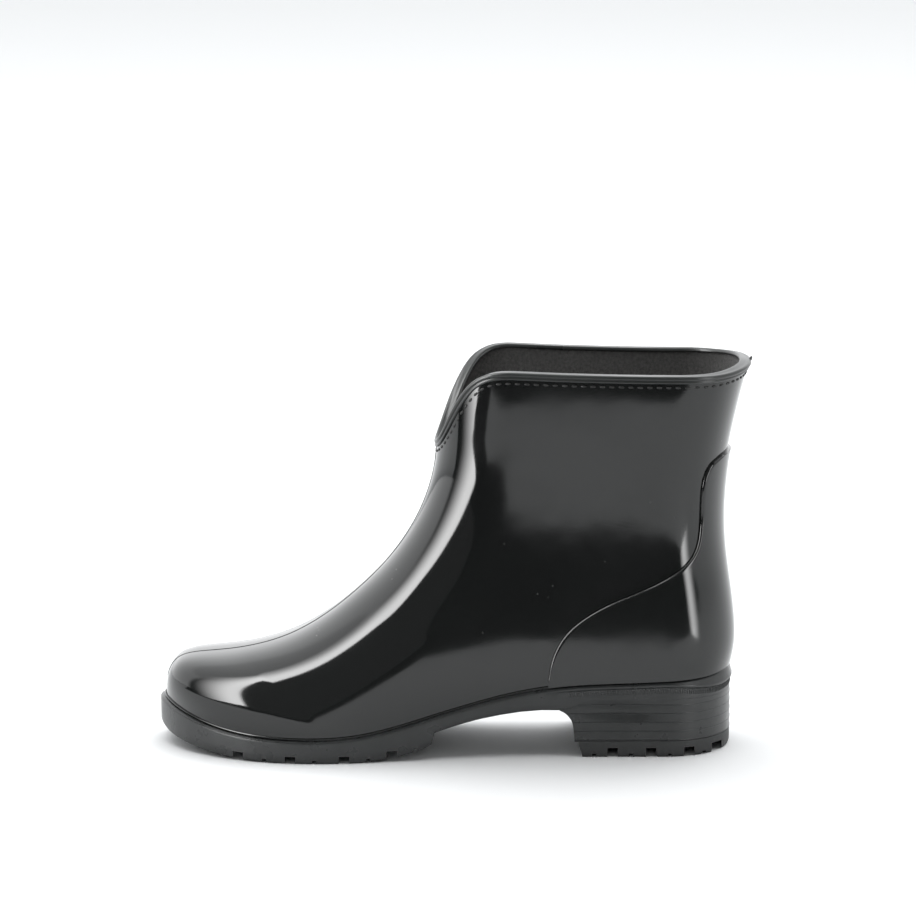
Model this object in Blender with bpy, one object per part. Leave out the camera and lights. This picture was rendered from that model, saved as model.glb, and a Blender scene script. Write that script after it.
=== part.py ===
"""Ankle rain boot (left foot): moulded shell, sole unit and the pieces inside it.

Millimetres in the formulas, metres in the meshes. +Z is up, the toe points to -Y, +X is the outer side.
The upper's half width is a function of the side view: x = width(y, z) * front rounding * back rounding.
"""
import math

import bmesh
import bpy
import numpy as np

# ---- overall sizes (mm) ----
SOLE_LENGTH = 265.0        # outsole, toe to heel
BOOT_HEIGHT = 180.8        # floor to the top of the collar binding
BALL_WIDTH = 94.3          # outsole across the ball

# ---- walls, clearances and layers (mm) ----
WALL = 2.2                 # moulded shell
GAP = 0.35                 # bonded faces are kept this far apart
LINING = 1.0               # textile lining
COUNTER = 1.2              # raised heel counter patch
BINDING = 0.8              # collar binding
BINDING_DEPTH = 2.6        # how far the binding reaches down each side
LEDGE = 2.4                # outsole's welt beyond the upper
HEEL_LEDGE = 1.3           # heel block beyond the upper
BOARD = 1.7                # insole board
FOOTBED = 4.0              # soft footbed
SHANK = 1.4                # steel shank thickness
SHANK_WIDTH = 14.0
FILLER = 2.0               # forefoot filler sheet
LUG_DEPTH = 3.8            # tread grooves
SPINE = 8.0                # half width of the solid strip between the grooves
TOP_PIECE = 7.5            # heel lift thickness
HEEL_SEAT = 27.0           # height of the joint between outsole and heel block

# ---- mesh density ----
TOE_TO_HEEL = 22           # sections that end on the feather line
HEEL_TO_COLLAR = 15        # sections that end on the back seam
ACROSS = 14                # steps from the lower or back end of a section to the ridge

KY = SOLE_LENGTH / 265.0
KZ = BOOT_HEIGHT / 180.8
KX = BALL_WIDTH / 94.3

# ---- side-view curves (y, z) for the nominal size ----
RIDGE = [(-135.2, 27.5), (-134.4, 31.2), (-132.7, 35.0), (-129.6, 38.3), (-124.5, 40.5), (-117.0, 41.8),
         (-106.0, 43.1), (-95.0, 45.1), (-84.0, 48.2), (-74.0, 52.4), (-64.0, 58.2), (-54.0, 65.4),
         (-44.0, 74.0), (-34.0, 84.1), (-25.2, 95.5), (-18.4, 107.2), (-13.8, 118.5), (-10.9, 130.0),
         (-9.7, 141.0)]
FEATHER = [(-135.8, 20.9), (-130.0, 18.7), (-122.0, 16.1), (-112.0, 13.6), (-100.0, 11.7), (-85.0, 10.6),
           (-68.0, 10.4), (-52.0, 11.0), (-38.0, 13.0), (-25.0, 16.0), (-10.0, 20.2), (5.0, 24.3),
           (20.0, 28.2), (35.0, 31.2), (50.0, 33.1), (65.0, 34.0), (85.0, 34.7), (100.0, 35.4), (112.0, 36.1),
           (119.0, 36.8), (124.6, 37.9)]
BACK = [(124.6, 37.9), (126.2, 46.0), (126.3, 58.0), (124.6, 73.0), (122.5, 88.0), (121.3, 103.0),
        (121.6, 118.0), (123.0, 132.0), (125.2, 145.0), (128.2, 159.0), (131.0, 170.5), (133.2, 178.5)]
COLLAR = [(-9.7, 141.0), (-8.1, 144.3), (-5.4, 150.8), (-1.6, 160.0), (2.6, 168.0), (8.0, 174.6),
          (15.5, 178.2), (27.0, 178.8), (46.0, 178.0), (66.0, 177.4), (88.0, 177.0), (108.0, 176.9),
          (122.0, 177.2), (133.2, 178.5)]
COUNTER_EDGE = [(41.2, 36.0), (42.4, 43.5), (45.3, 51.4), (50.0, 58.2), (56.5, 63.9), (65.0, 69.2),
                (76.0, 74.3), (87.5, 79.2), (97.0, 84.3), (103.7, 89.3), (108.2, 95.4), (110.0, 103.0),
                (110.5, 112.0), (110.8, 122.0), (112.0, 129.6), (115.2, 135.2), (119.8, 137.8)]
TREAD = [(-138.5, 9.4), (-136.5, 7.9), (-134.0, 6.4), (-130.0, 5.0), (-126.0, 4.0), (-121.0, 3.1),
         (-116.0, 2.4), (-110.0, 1.6), (-102.0, 0.7), (-92.0, 0.2), (-82.0, 0.0), (-45.0, 0.0), (-37.5, 0.9),
         (-26.5, 2.4), (-15.6, 5.4), (-11.5, 7.8), (-11.0, 12.6), (-4.6, 14.6), (2.8, 16.7), (10.0, 18.5),
         (19.0, 20.2), (28.5, 21.6), (38.0, 22.3), (46.5, 22.2), (52.0, 23.2), (58.0, 26.0), (62.0, HEEL_SEAT),
         (130.0, HEEL_SEAT)]
BREAST = [(46.6, 21.6), (50.4, 19.3), (52.6, 15.0), (53.4, TOP_PIECE + GAP)]

# Half width over the side view, 30 mm apart both ways; rows rise from z = -25, columns run from y = -170.
WIDTH_Z0, WIDTH_Y0, WIDTH_STEP = -25.0, -170.0, 30.0
WIDTH_TABLE = np.array([
    [43.5, 43.5, 44.6, 45.8, 44.5, 39.8, 34.6, 33.2, 32.8, 32.6, 32.4, 32.4],
    [43.5, 43.5, 44.6, 45.8, 44.5, 39.8, 34.8, 33.4, 33.1, 32.9, 32.7, 32.7],
    [43.5, 43.5, 44.4, 45.6, 44.4, 40.4, 35.9, 34.6, 34.4, 34.2, 33.9, 33.9],
    [43.0, 43.0, 44.0, 44.6, 42.6, 38.2, 34.7, 33.3, 33.1, 32.8, 32.5, 32.5],
    [42.0, 42.0, 42.0, 41.5, 39.0, 35.6, 33.0, 32.0, 32.0, 31.8, 31.6, 31.6],
    [40.5, 40.5, 40.5, 39.5, 37.5, 35.4, 34.2, 33.6, 33.6, 33.4, 33.2, 33.2],
    [40.5, 40.5, 40.5, 40.0, 39.0, 37.8, 37.2, 37.0, 37.0, 36.8, 36.6, 36.6],
    [41.2, 41.2, 41.2, 41.2, 41.2, 41.2, 41.2, 41.2, 41.2, 41.0, 40.7, 40.7],
    [42.6, 42.6, 42.6, 42.6, 42.6, 42.6, 42.6, 42.6, 42.6, 42.3, 41.9, 41.9]])
TOE_ROUND = 80.0           # plan length over which the toe closes
BACK_ROUND = 30.0          # plan length over which heel and shaft close at the back
SHAFT_ROUND = 35.0         # the same at the front of the shaft


def spline(knots, values):
    """Natural cubic spline through the values, returned as a function."""
    t, v = np.asarray(knots, float), np.asarray(values, float)
    h = np.diff(t)
    n = len(t)
    system, right = np.eye(n), np.zeros(n)
    for i in range(1, n - 1):
        system[i, i - 1:i + 2] = h[i - 1], 2 * (h[i - 1] + h[i]), h[i]
        right[i] = 6 * ((v[i + 1] - v[i]) / h[i] - (v[i] - v[i - 1]) / h[i - 1])
    curve = np.linalg.solve(system, right)

    def evaluate(x):
        x = np.clip(x, t[0], t[-1])
        k = np.clip(np.searchsorted(t, x) - 1, 0, n - 2)
        a, b, w = t[k + 1] - x, x - t[k], h[k]
        bend = (curve[k] * a ** 3 + curve[k + 1] * b ** 3) / (6 * w)
        return bend + (v[k] / w - curve[k] * w / 6) * a + (v[k + 1] / w - curve[k + 1] * w / 6) * b
    return evaluate


def path(points):
    """Smooth side-view path; returns (function of 0..1, length)."""
    p = np.array(points, float)
    s = np.concatenate([[0], np.cumsum(np.hypot(*np.diff(p, axis=0).T))])
    fy, fz = spline(s / s[-1], p[:, 0]), spline(s / s[-1], p[:, 1])
    return (lambda u: np.stack([fy(u), fz(u)], -1)), s[-1]


def column(points, scale_in, scale_out):
    """Smooth function z(y) or y(z) through scaled points."""
    p = np.array(points, float)
    return spline(p[:, 0] * scale_in, p[:, 1] * scale_out)


def smooth(x):
    x = np.clip(x, 0.0, 1.0)
    return x * x * (3 - 2 * x)


def rounding(distance, reach, power):
    """0 on the profile, 1 once a point is further in than the reach."""
    s = np.clip(1 - distance / reach, 0, 1)
    return (1 - s ** power) ** (1 / power)


def table_width(y, z):
    """Uniform cubic B-spline over the width table."""
    u, v = (z - WIDTH_Z0) / WIDTH_STEP, (y - WIDTH_Y0) / WIDTH_STEP
    i = np.clip(np.floor(u).astype(int), 1, WIDTH_TABLE.shape[0] - 3)
    j = np.clip(np.floor(v).astype(int), 1, WIDTH_TABLE.shape[1] - 3)

    def weights(f):
        return [(1 - f) ** 3 / 6, (3 * f ** 3 - 6 * f ** 2 + 4) / 6,
                (-3 * f ** 3 + 3 * f ** 2 + 3 * f + 1) / 6, f ** 3 / 6]
    total = 0
    for a, wa in enumerate(weights(u - i)):
        for b, wb in enumerate(weights(v - j)):
            total = total + wa * wb * WIDTH_TABLE[i + a - 1, j + b - 1]
    return total


feather_z = column(FEATHER, 1, 1)
back_y = column([(z, y) for y, z in BACK], 1, 1)
ridge_y = column([(z, y) for y, z in RIDGE[3:] + [(-9.6, 150.0), (-9.6, 160.0), (-9.6, 190.0)]], 1, 1)


def body_width(y, z):
    """Half width of the upper away from its front ridge."""
    return table_width(y, z) * rounding(back_y(z) - y, BACK_ROUND, 2.15)


def toe_width(y):
    return rounding(y - FEATHER[0][0], TOE_ROUND, 2.1)


def swing(p):
    """Gives the symmetric shape its left-foot outline; also scales it to the chosen size."""
    p = np.array(p, float)
    x, y, z = p[:, 0], p[:, 1], p[:, 2]
    s = np.clip((10 - y) / 146, 0, 1)
    low = 1 - smooth((z - 20) / 45)
    waist = 1 - 0.085 * np.exp(-((y - 6) / 30) ** 2) * low * smooth(-x / 12)
    x = x * waist + 25 * s ** 2 * (0.8 - s) * (1 - 0.5 * smooth((z - 45) / 60))
    return np.stack([x * KX, y * KY, z * KZ], 1)


# ---- the upper as a sheet ----

def upper_sections():
    """Side-view grid [section, step] and half widths; the last section is the collar."""
    ridge, _ = path(RIDGE)
    feather, _ = path(FEATHER)
    back, _ = path(BACK)
    collar, _ = path(COLLAR)
    heel = TOE_TO_HEEL / (TOE_TO_HEEL + HEEL_TO_COLLAR)
    u = np.arange(TOE_TO_HEEL + HEEL_TO_COLLAR + 1) / (TOE_TO_HEEL + HEEL_TO_COLLAR)
    low = np.clip(u / heel, 0, 1)
    low = 0.35 * low + 0.65 * (1 - np.cos(math.pi * low)) / 2
    high = np.clip((u - heel) / (1 - heel), 0, 1)
    u = 0.743 * np.clip(u / heel, 0, 1) + 0.257 * high
    on_ridge = spline([0, 0.12, 0.26, 0.42, 0.56, 0.66, 0.76, 0.86, 1.0],
                      [0, 0.09, 0.24, 0.42, 0.58, 0.70, 0.80, 0.89, 1.0])
    start = np.where((high <= 0)[:, None], feather(low), back(high))
    end = ridge(on_ridge(u))
    s = (1 - np.cos(math.pi * np.arange(ACROSS + 1) / ACROSS)) / 2
    line = start[:, None] * (1 - s)[None, :, None] + end[:, None] * s[None, :, None]
    rim = collar(1 - s)
    chord = rim[0] * (1 - s)[:, None] + rim[-1] * s[:, None]
    bend = np.clip((u - 0.52) / 0.48, 0, 1) ** 1.6
    side = line + bend[:, None, None] * (rim - chord)[None]
    y, z = side[..., 0], side[..., 1]
    length = np.hypot(*(end - start).T)[:, None]
    flat = (1 - s)[None] * length
    level = np.clip(y - ridge_y(z), 0, None)
    mix = smooth((u - 0.50) / 0.16)[:, None]
    reach_at = spline([0, 0.3, 0.5, 0.66, 0.8, 1.0], [70, 52, 44, 38, SHAFT_ROUND, SHAFT_ROUND])
    reach = np.minimum(length, reach_at(u)[:, None])
    power = (3.0 - 0.9 * smooth((u - 0.1) / 0.5))[:, None]
    front = rounding(flat * (1 - mix) + level * mix, reach, power)
    toe = toe_width(start[:, 0])[:, None]
    x = body_width(y, z) * front * toe
    x[:, -1] = 0
    x[0] = 0
    x[TOE_TO_HEEL:, 0] = 0
    return x, y, z


def mirrored_grid(x, y, z):
    """Vertices and quads of a half grid and its mirror image, welded where x is 0."""
    verts, index, faces = [], {}, []

    def vertex(i, j, side):
        key = (i, j, 0 if x[i, j] < 1e-6 else side)
        if key not in index:
            index[key] = len(verts)
            verts.append((key[2] * x[i, j], y[i, j], z[i, j]))
        return index[key]
    for side in (1, -1):
        for i in range(x.shape[0] - 1):
            for j in range(x.shape[1] - 1):
                corners = ((i, j), (i + 1, j), (i + 1, j + 1), (i, j + 1))
                quad = list(dict.fromkeys(vertex(a, b, side) for a, b in corners))
                if len(quad) > 2:
                    faces.append(quad[::side])
    return np.array(verts), faces, index


def normals(verts, faces):
    """Vertex normals from the face normals around each vertex."""
    total = np.zeros_like(verts)
    for face in faces:
        p = verts[face]
        around = np.cross(p[1] - p[0], p[-1] - p[0])
        if len(face) == 4:
            around = around + np.cross(p[3] - p[2], p[1] - p[2])
        around /= max(np.linalg.norm(around), 1e-12)
        for k in face:
            total[k] += around
    return total / np.linalg.norm(total, axis=1)[:, None]


def offset(verts, out, distance):
    """Moves the vertices along their normals and keeps centre-line vertices on the centre line."""
    moved = verts + out * distance
    moved[np.abs(verts[:, 0]) < 1e-6, 0] = 0
    return moved


def thick(verts, faces, out, outer, inner):
    """Closed body between two offsets of one sheet."""
    n = len(verts)
    both = np.concatenate([offset(verts, out, outer), offset(verts, out, inner)])
    solid = [list(f) for f in faces] + [[k + n for k in reversed(f)] for f in faces]
    used = {(f[k], f[(k + 1) % len(f)]) for f in faces for k in range(len(f))}
    solid += [[b, a, a + n, b + n] for a, b in used if (b, a) not in used]
    return both, solid


# ---- plates that follow the outline of the sole ----

def half_outline(grow, start=None, stop=None, count=30):
    """Right half of the feather outline, grown or shrunk in plan, between two y values."""
    low, high = FEATHER[0][0], FEATHER[-1][0]
    u = (1 - np.cos(math.pi * np.arange(count + 1) / count)) / 2
    u = 0.35 * np.arange(count + 1) / count + 0.65 * u
    y = low + (high - low) * u
    x = body_width(y, feather_z(y)) * toe_width(y)
    x[0] = x[-1] = 0
    slope = np.stack([np.gradient(x), np.gradient(y)], 1)
    slope[0], slope[-1] = (1, 0), (-1, 0)
    slope /= np.linalg.norm(slope, axis=1)[:, None]
    x, y = x + slope[:, 1] * grow, y - slope[:, 0] * grow
    x[0] = x[-1] = 0
    if start is None and stop is None:
        return x, y
    start = y[0] if start is None else start
    stop = y[-1] if stop is None else stop
    inside = (y > start + 0.5) & (y < stop - 0.5)
    ys = np.concatenate([[start], y[inside], [stop]])
    return np.interp(ys, y, x), ys


def plate(x, y, low, high):
    """Closed body with half widths x at stations y, between heights low and high."""
    verts, faces, rows = [], [], []
    for xi, yi, zl, zh in zip(x, y, low, high):
        row = {}
        for level, zi in ((0, zl), (1, zh)):
            for side in ((-1, 1) if xi > 1e-6 else (0,)):
                row[level, side] = len(verts)
                verts.append((side * xi, yi, zi))
        rows.append({k: row.get(k, row.get((k[0], 0))) for k in [(0, -1), (0, 1), (1, -1), (1, 1)]})
    for a, b in zip(rows, rows[1:]):
        faces.append([a[0, -1], b[0, -1], b[0, 1], a[0, 1]])
        faces.append([a[1, 1], b[1, 1], b[1, -1], a[1, -1]])
        faces.append([a[0, 1], b[0, 1], b[1, 1], a[1, 1]])
        faces.append([b[0, -1], a[0, -1], a[1, -1], b[1, -1]])
    first, last = rows[0], rows[-1]
    if x[0] > 1e-6:
        faces.append([first[0, -1], first[0, 1], first[1, 1], first[1, -1]])
    if x[-1] > 1e-6:
        faces.append([last[0, 1], last[0, -1], last[1, -1], last[1, 1]])
    return np.array(verts), [list(dict.fromkeys(f)) for f in faces if len(set(f)) > 2]


def rounded_strip(half, start, stop, count=12):
    """Half widths of a strip with round ends."""
    u = (1 - np.cos(math.pi * np.arange(count + 1) / count)) / 2
    y = start + (stop - start) * u
    x = half * rounding(np.minimum(y - start, stop - y), half, 2.0)
    x[0] = x[-1] = 0
    return x, y


# ---- Blender objects ----

def material(name, colour, roughness):
    mat = bpy.data.materials.new(name)
    mat.use_nodes = True
    shader = mat.node_tree.nodes["Principled BSDF"]
    shader.inputs["Base Color"].default_value = (*colour, 1.0)
    shader.inputs["Roughness"].default_value = roughness
    return mat


def body(name, shape, colour=(0.5, 0.5, 0.5), roughness=0.5):
    """One named object from vertices in millimetres and outward faces."""
    verts, faces = shape
    mesh = bpy.data.meshes.new(name)
    mesh.from_pydata((swing(verts) * 0.001).tolist(), [], faces)
    bm = bmesh.new()
    bm.from_mesh(mesh)
    bmesh.ops.recalc_face_normals(bm, faces=bm.faces)
    bmesh.ops.triangulate(bm, faces=[f for f in bm.faces if len(f.verts) > 3])
    bm.to_mesh(mesh)
    bm.free()
    mesh.materials.append(material(name + "_mat", colour, roughness))
    obj = bpy.data.objects.new(name, mesh)
    bpy.context.scene.collection.objects.link(obj)
    return obj


def carve(target, shape, name):
    """Takes one closed cutter out of the target."""
    cutter = body(name, shape)
    cutter.hide_render = True
    cutter.display_type = "WIRE"
    cut = target.modifiers.new(name, "BOOLEAN")
    cut.operation = "DIFFERENCE"
    cut.solver = "EXACT"
    cut.object = cutter
    bpy.context.view_layer.update()
    result = bpy.data.meshes.new_from_object(target.evaluated_get(bpy.context.evaluated_depsgraph_get()))
    target.modifiers.remove(cut)
    target.data = result
    bpy.data.objects.remove(cutter, do_unlink=True)


def bar(centre, half_y, inner, outer, low, high, sides=(1, -1)):
    """Groove cutters: one bar per side, from inner to outer in x."""
    verts, faces = [], []
    for side in sides:
        n = len(verts)
        for x in (inner, outer):
            for y in (centre - half_y, centre + half_y):
                for z in (low, high):
                    verts.append((side * x, y, z))
        box = [(0, 1, 3, 2), (4, 6, 7, 5), (0, 4, 5, 1), (2, 3, 7, 6), (0, 2, 6, 4), (1, 5, 7, 3)]
        faces += [[n + k for k in f[::side]] for f in box]
    return np.array(verts), faces


def grooves(target, full, short, floor):
    """Tread grooves from both edges: bars that stop at a centre spine, and short notches."""
    for k, y in enumerate(full):
        carve(target, bar(y, 2.5, SPINE, 60, floor(y) - 6, floor(y) + LUG_DEPTH), f"groove_{k}")
    for k, y in enumerate(short):
        carve(target, bar(y, 1.2, 26, 60, floor(y) - 6, floor(y) + LUG_DEPTH * 0.7), f"notch_{k}")


def clear_scene():
    for obj in list(bpy.data.objects):
        bpy.data.objects.remove(obj, do_unlink=True)


def build_upper():
    x, y, z = upper_sections()
    verts, faces, index = mirrored_grid(x, y, z)
    out = normals(verts, faces)
    body("upper_shell", thick(verts, faces, out, 0.0, -WALL), (0.015, 0.017, 0.016), 0.18)

    lifted = verts.copy()
    for (i, j, _), k in index.items():
        if j == 0 and i <= TOE_TO_HEEL:
            lifted[k, 2] += BOARD + 2 * GAP
    outer = -(WALL + GAP)
    body("lining_sock", thick(lifted, faces, out, outer, outer - LINING), (0.018, 0.017, 0.016), 0.95)
    binding(verts, out, index)


def binding(verts, out, index):
    """U-shaped band over the edges of shell and lining, swept round the collar."""
    last = TOE_TO_HEEL + HEEL_TO_COLLAR
    right = [index[last, j, 1] for j in range(1, ACROSS)]
    left = [index[last, j, -1] for j in range(ACROSS - 1, 0, -1)]
    loop = [index[last, 0, 0]] + right + [index[last, ACROSS, 0]] + left
    below = {}
    for (i, j, side), k in index.items():
        if i == last:
            below[k] = index[last - 1, j, side if (last - 1, j, side) in index else 0]
    inner = -(WALL + GAP + LINING + 2 * GAP)
    top = GAP + BINDING
    u_shape = [(GAP, -BINDING_DEPTH), (top, -BINDING_DEPTH), (top, 0.55), (top - 0.5, top),
               (inner - BINDING + 0.5, top), (inner - BINDING, 0.55), (inner - BINDING, -BINDING_DEPTH * 0.6),
               (inner, -BINDING_DEPTH * 0.6), (inner, GAP), (GAP, GAP)]
    ring, faces = [], []
    m = len(u_shape)
    for n, k in enumerate(loop):
        normal = out[k]
        along = verts[loop[(n + 1) % len(loop)]] - verts[loop[n - 1]]
        up = np.cross(normal, along)
        if np.dot(up, verts[k] - verts[below[k]]) < 0:
            up = -up
        up /= np.linalg.norm(up)
        for a, b in u_shape:
            p = verts[k] + normal * a + up * b
            if k in (loop[0], index[last, ACROSS, 0]):
                p[0] = 0
            ring.append(p)
    for n in range(len(loop)):
        after = (n + 1) % len(loop)
        for k in range(m):
            faces.append([n * m + k, after * m + k, after * m + (k + 1) % m, n * m + (k + 1) % m])
    body("collar_binding", (np.array(ring), faces), (0.03, 0.032, 0.031), 0.35)


def build_counter():
    """Raised patch over the back of the heel, inside the curved edge."""
    edge, _ = path(COUNTER_EDGE)
    along, up, across = 12, 14, 8
    base_y = 41.2 + (124.6 - 41.2) * np.sin(math.pi / 2 * np.arange(along + 1) / along)
    seam_z = 37.9 + (138.6 - 37.9) * np.arange(1, up + 1) / up
    seam = np.stack([back_y(seam_z), seam_z], 1)
    base = np.concatenate([np.stack([base_y, feather_z(base_y) + GAP], 1), seam])
    part = np.arange(along + up + 1) / (along + up)
    s = (1 - np.cos(math.pi / 2 * np.arange(across + 1) / across))[None, :, None]
    grid = base[:, None] * (1 - s) + edge(part)[:, None] * s
    y, z = grid[..., 0], grid[..., 1]
    x = body_width(y, z)
    x[along:, 0] = 0
    verts, faces, _ = mirrored_grid(x, y, z)
    out = normals(verts, faces)
    body("heel_counter", thick(verts, faces, out, GAP + COUNTER, 1.2 * GAP), (0.015, 0.017, 0.016), 0.2)


def build_sole():
    tread = column(TREAD, 1, 1)
    tread_points = np.array(TREAD)

    def under(y):
        return np.interp(y, tread_points[:, 0], tread_points[:, 1])

    def top(y):
        return feather_z(y) - GAP

    x, y = half_outline(LEDGE, count=34)
    steps = np.array([-11.5, -11.0])
    ys = np.sort(np.concatenate([y, steps, [46.5, 52.0, 58.0, 62.0]]))
    x = np.interp(ys, y, x)
    x[0] = x[-1] = 0
    outsole = body("outsole", plate(x, ys, under(ys), top(ys)), (0.06, 0.063, 0.063), 0.45)
    fx, fy = half_outline(-9.0, -119.0, -40.0, count=26)
    carve(outsole, plate(fx, fy, top(fy) - FILLER - GAP, top(fy) + 3), "filler_pocket")
    sx, sy = rounded_strip(SHANK_WIDTH / 2 + GAP, -30.0, 80.0)
    carve(outsole, plate(sx, sy, top(sy) - SHANK - 2 * GAP, top(sy) + 3), "shank_pocket")
    grooves(outsole, [-100.7, -76.7, -52.0, -30.3], [-88.6, -65.7, -40.9, -19.6], under)

    fx, fy = half_outline(-9.0 - GAP, -119.0 + GAP, -40.0 - GAP, count=26)
    body("sole_filler", plate(fx, fy, top(fy) - FILLER, top(fy) - 0.05), (0.42, 0.33, 0.22), 0.9)
    sx, sy = rounded_strip(SHANK_WIDTH / 2, -30.0 + GAP, 80.0 - GAP)
    body("shank", plate(sx, sy, top(sy) - SHANK - GAP, top(sy) - GAP), (0.5, 0.5, 0.5), 0.35)

    x, y = half_outline(-(WALL + 1.2))
    body("insole_board", plate(x, y, feather_z(y), feather_z(y) + BOARD), (0.35, 0.27, 0.18), 0.9)
    x, y = half_outline(-(WALL + LINING + 2.4))
    low = feather_z(y) + BOARD + GAP
    body("footbed", plate(x, y, low, low + FOOTBED), (0.03, 0.03, 0.03), 0.95)


def build_heel():
    tread_points = np.array(TREAD)
    front = np.array(BREAST)
    x, y = half_outline(HEEL_LEDGE, count=34)

    def seat(v):
        return np.interp(v, tread_points[:, 0], tread_points[:, 1]) - GAP

    ys = np.unique(np.concatenate([front[:, 0], [58.0, 62.0], y[y > 64]]))
    xs = np.interp(ys, y, x)
    xs[-1] = 0
    low = np.interp(ys, front[:, 0], front[:, 1])
    block = body("heel_block", plate(xs, ys, low, np.maximum(seat(ys), low + 0.2)), (0.055, 0.058, 0.058), 0.5)
    cx, cy = half_outline(-8.0, 68.0, 112.0, count=34)
    carve(block, plate(cx, cy, cy * 0 + 13.0, cy * 0 + 40.0), "core_pocket")
    cx, cy = half_outline(-8.0 - GAP, 68.0 + GAP, 112.0 - GAP, count=34)
    body("heel_core", plate(cx, cy, cy * 0 + 13.0 + GAP, cy * 0 + HEEL_SEAT - 2 * GAP), (0.6, 0.45, 0.28), 0.9)

    ys = np.unique(np.concatenate([[53.4, 55.6, 57.0], y[y > 59]]))
    xs = np.interp(ys, y, x)
    xs[-1] = 0
    low = np.interp(ys, [53.4, 55.6, 57.0, 120.0, 124.0, 126.0], [7.2, 5.2, 0, 0, 0.2, 1.4])
    piece = body("heel_top_piece", plate(xs, ys, low, ys * 0 + TOP_PIECE), (0.05, 0.052, 0.052), 0.55)
    grooves(piece, [70.9, 88.6, 106.2, 119.2], [62.4, 79.4, 97.1, 113.2], lambda v: 0.0)


def centre():
    """Puts the middle of the base at the origin."""
    shapes = [o for o in bpy.data.objects if o.type == "MESH"]
    points = np.array([v.co for o in shapes for v in o.data.vertices])
    low, high = points.min(0), points.max(0)
    move = np.array([(low[0] + high[0]) / 2, (low[1] + high[1]) / 2, low[2]])
    for obj in shapes:
        for v in obj.data.vertices:
            v.co = np.array(v.co) - move


clear_scene()
build_upper()
build_counter()
build_sole()
build_heel()
centre()
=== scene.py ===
"""Looks of an ankle rain boot: glossy moulded shell, raised heel counter, rolled rim and lugged sole.

Formulas work in millimetres in the sole maker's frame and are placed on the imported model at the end.
"""
import math

import bmesh
import bpy
import numpy as np
from bpy.props import FloatProperty, FloatVectorProperty, IntProperty, PointerProperty
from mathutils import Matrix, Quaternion, Vector
from mathutils.bvhtree import BVHTree


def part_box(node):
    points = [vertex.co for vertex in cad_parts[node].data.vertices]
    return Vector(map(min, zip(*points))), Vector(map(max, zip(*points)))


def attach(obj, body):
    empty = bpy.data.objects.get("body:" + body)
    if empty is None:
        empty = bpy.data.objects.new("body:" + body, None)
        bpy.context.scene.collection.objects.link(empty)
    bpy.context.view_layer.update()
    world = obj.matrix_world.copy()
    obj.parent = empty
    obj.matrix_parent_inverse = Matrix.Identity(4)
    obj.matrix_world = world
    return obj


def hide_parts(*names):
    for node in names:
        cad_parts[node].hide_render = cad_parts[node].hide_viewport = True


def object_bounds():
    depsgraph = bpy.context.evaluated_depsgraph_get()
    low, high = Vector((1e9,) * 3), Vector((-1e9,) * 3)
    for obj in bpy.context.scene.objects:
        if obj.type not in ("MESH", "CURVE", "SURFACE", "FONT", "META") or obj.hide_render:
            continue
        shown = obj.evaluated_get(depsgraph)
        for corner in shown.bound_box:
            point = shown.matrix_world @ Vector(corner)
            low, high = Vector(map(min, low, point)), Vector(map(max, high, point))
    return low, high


bl_info = {
    "name": "Rain Boot Builder",
    "version": (1, 0, 0),
    "blender": (4, 5, 0),
    "location": "View3D > Sidebar > Rain Boot",
    "description": "Builds a moulded ankle rain boot piece by piece",
    "category": "Object",
}

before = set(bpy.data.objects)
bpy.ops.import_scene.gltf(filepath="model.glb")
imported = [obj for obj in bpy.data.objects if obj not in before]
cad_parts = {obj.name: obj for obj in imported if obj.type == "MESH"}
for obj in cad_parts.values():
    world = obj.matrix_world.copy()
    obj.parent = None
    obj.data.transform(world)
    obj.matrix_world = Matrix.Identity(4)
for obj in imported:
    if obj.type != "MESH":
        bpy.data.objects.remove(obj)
CAD_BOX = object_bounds()
ROOT = "root"


def frame_size(node):
    """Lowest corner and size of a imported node, in millimetres."""
    low, high = (np.array(v) * 1000 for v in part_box(node))
    return low, high - low


SOLE_LOW, SOLE_SIZE = frame_size("outsole")
TOTAL_HEIGHT = (CAD_BOX[1][2] - CAD_BOX[0][2]) * 1000

# ---- nominal shape, in millimetres; the frame's own sizes scale it ----
NOMINAL_WIDTH, NOMINAL_LENGTH, NOMINAL_HEIGHT = 94.28, 265.0, 180.82
NOMINAL_SOLE_LOW = np.array([-45.24, -138.2])
KX, KY, KZ = SOLE_SIZE[0] / NOMINAL_WIDTH, SOLE_SIZE[1] / NOMINAL_LENGTH, TOTAL_HEIGHT / NOMINAL_HEIGHT
PLACE = np.array([SOLE_LOW[0] - NOMINAL_SOLE_LOW[0] * KX, SOLE_LOW[1] - NOMINAL_SOLE_LOW[1] * KY, 0.0])

# ---- walls, clearances and layers ----
WALL, GAP, LINING_THICK, COUNTER_RISE = 2.2, 0.35, 1.0, 1.2
LEDGE, HEEL_LEDGE, BOARD, FOOTBED_THICK = 2.4, 1.3, 1.7, 4.0
LUG_DEPTH, LIFT_TOP, HEEL_SEAT = 3.8, 7.5, 27.0

# ---- side-view curves (y, z) ----

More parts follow.
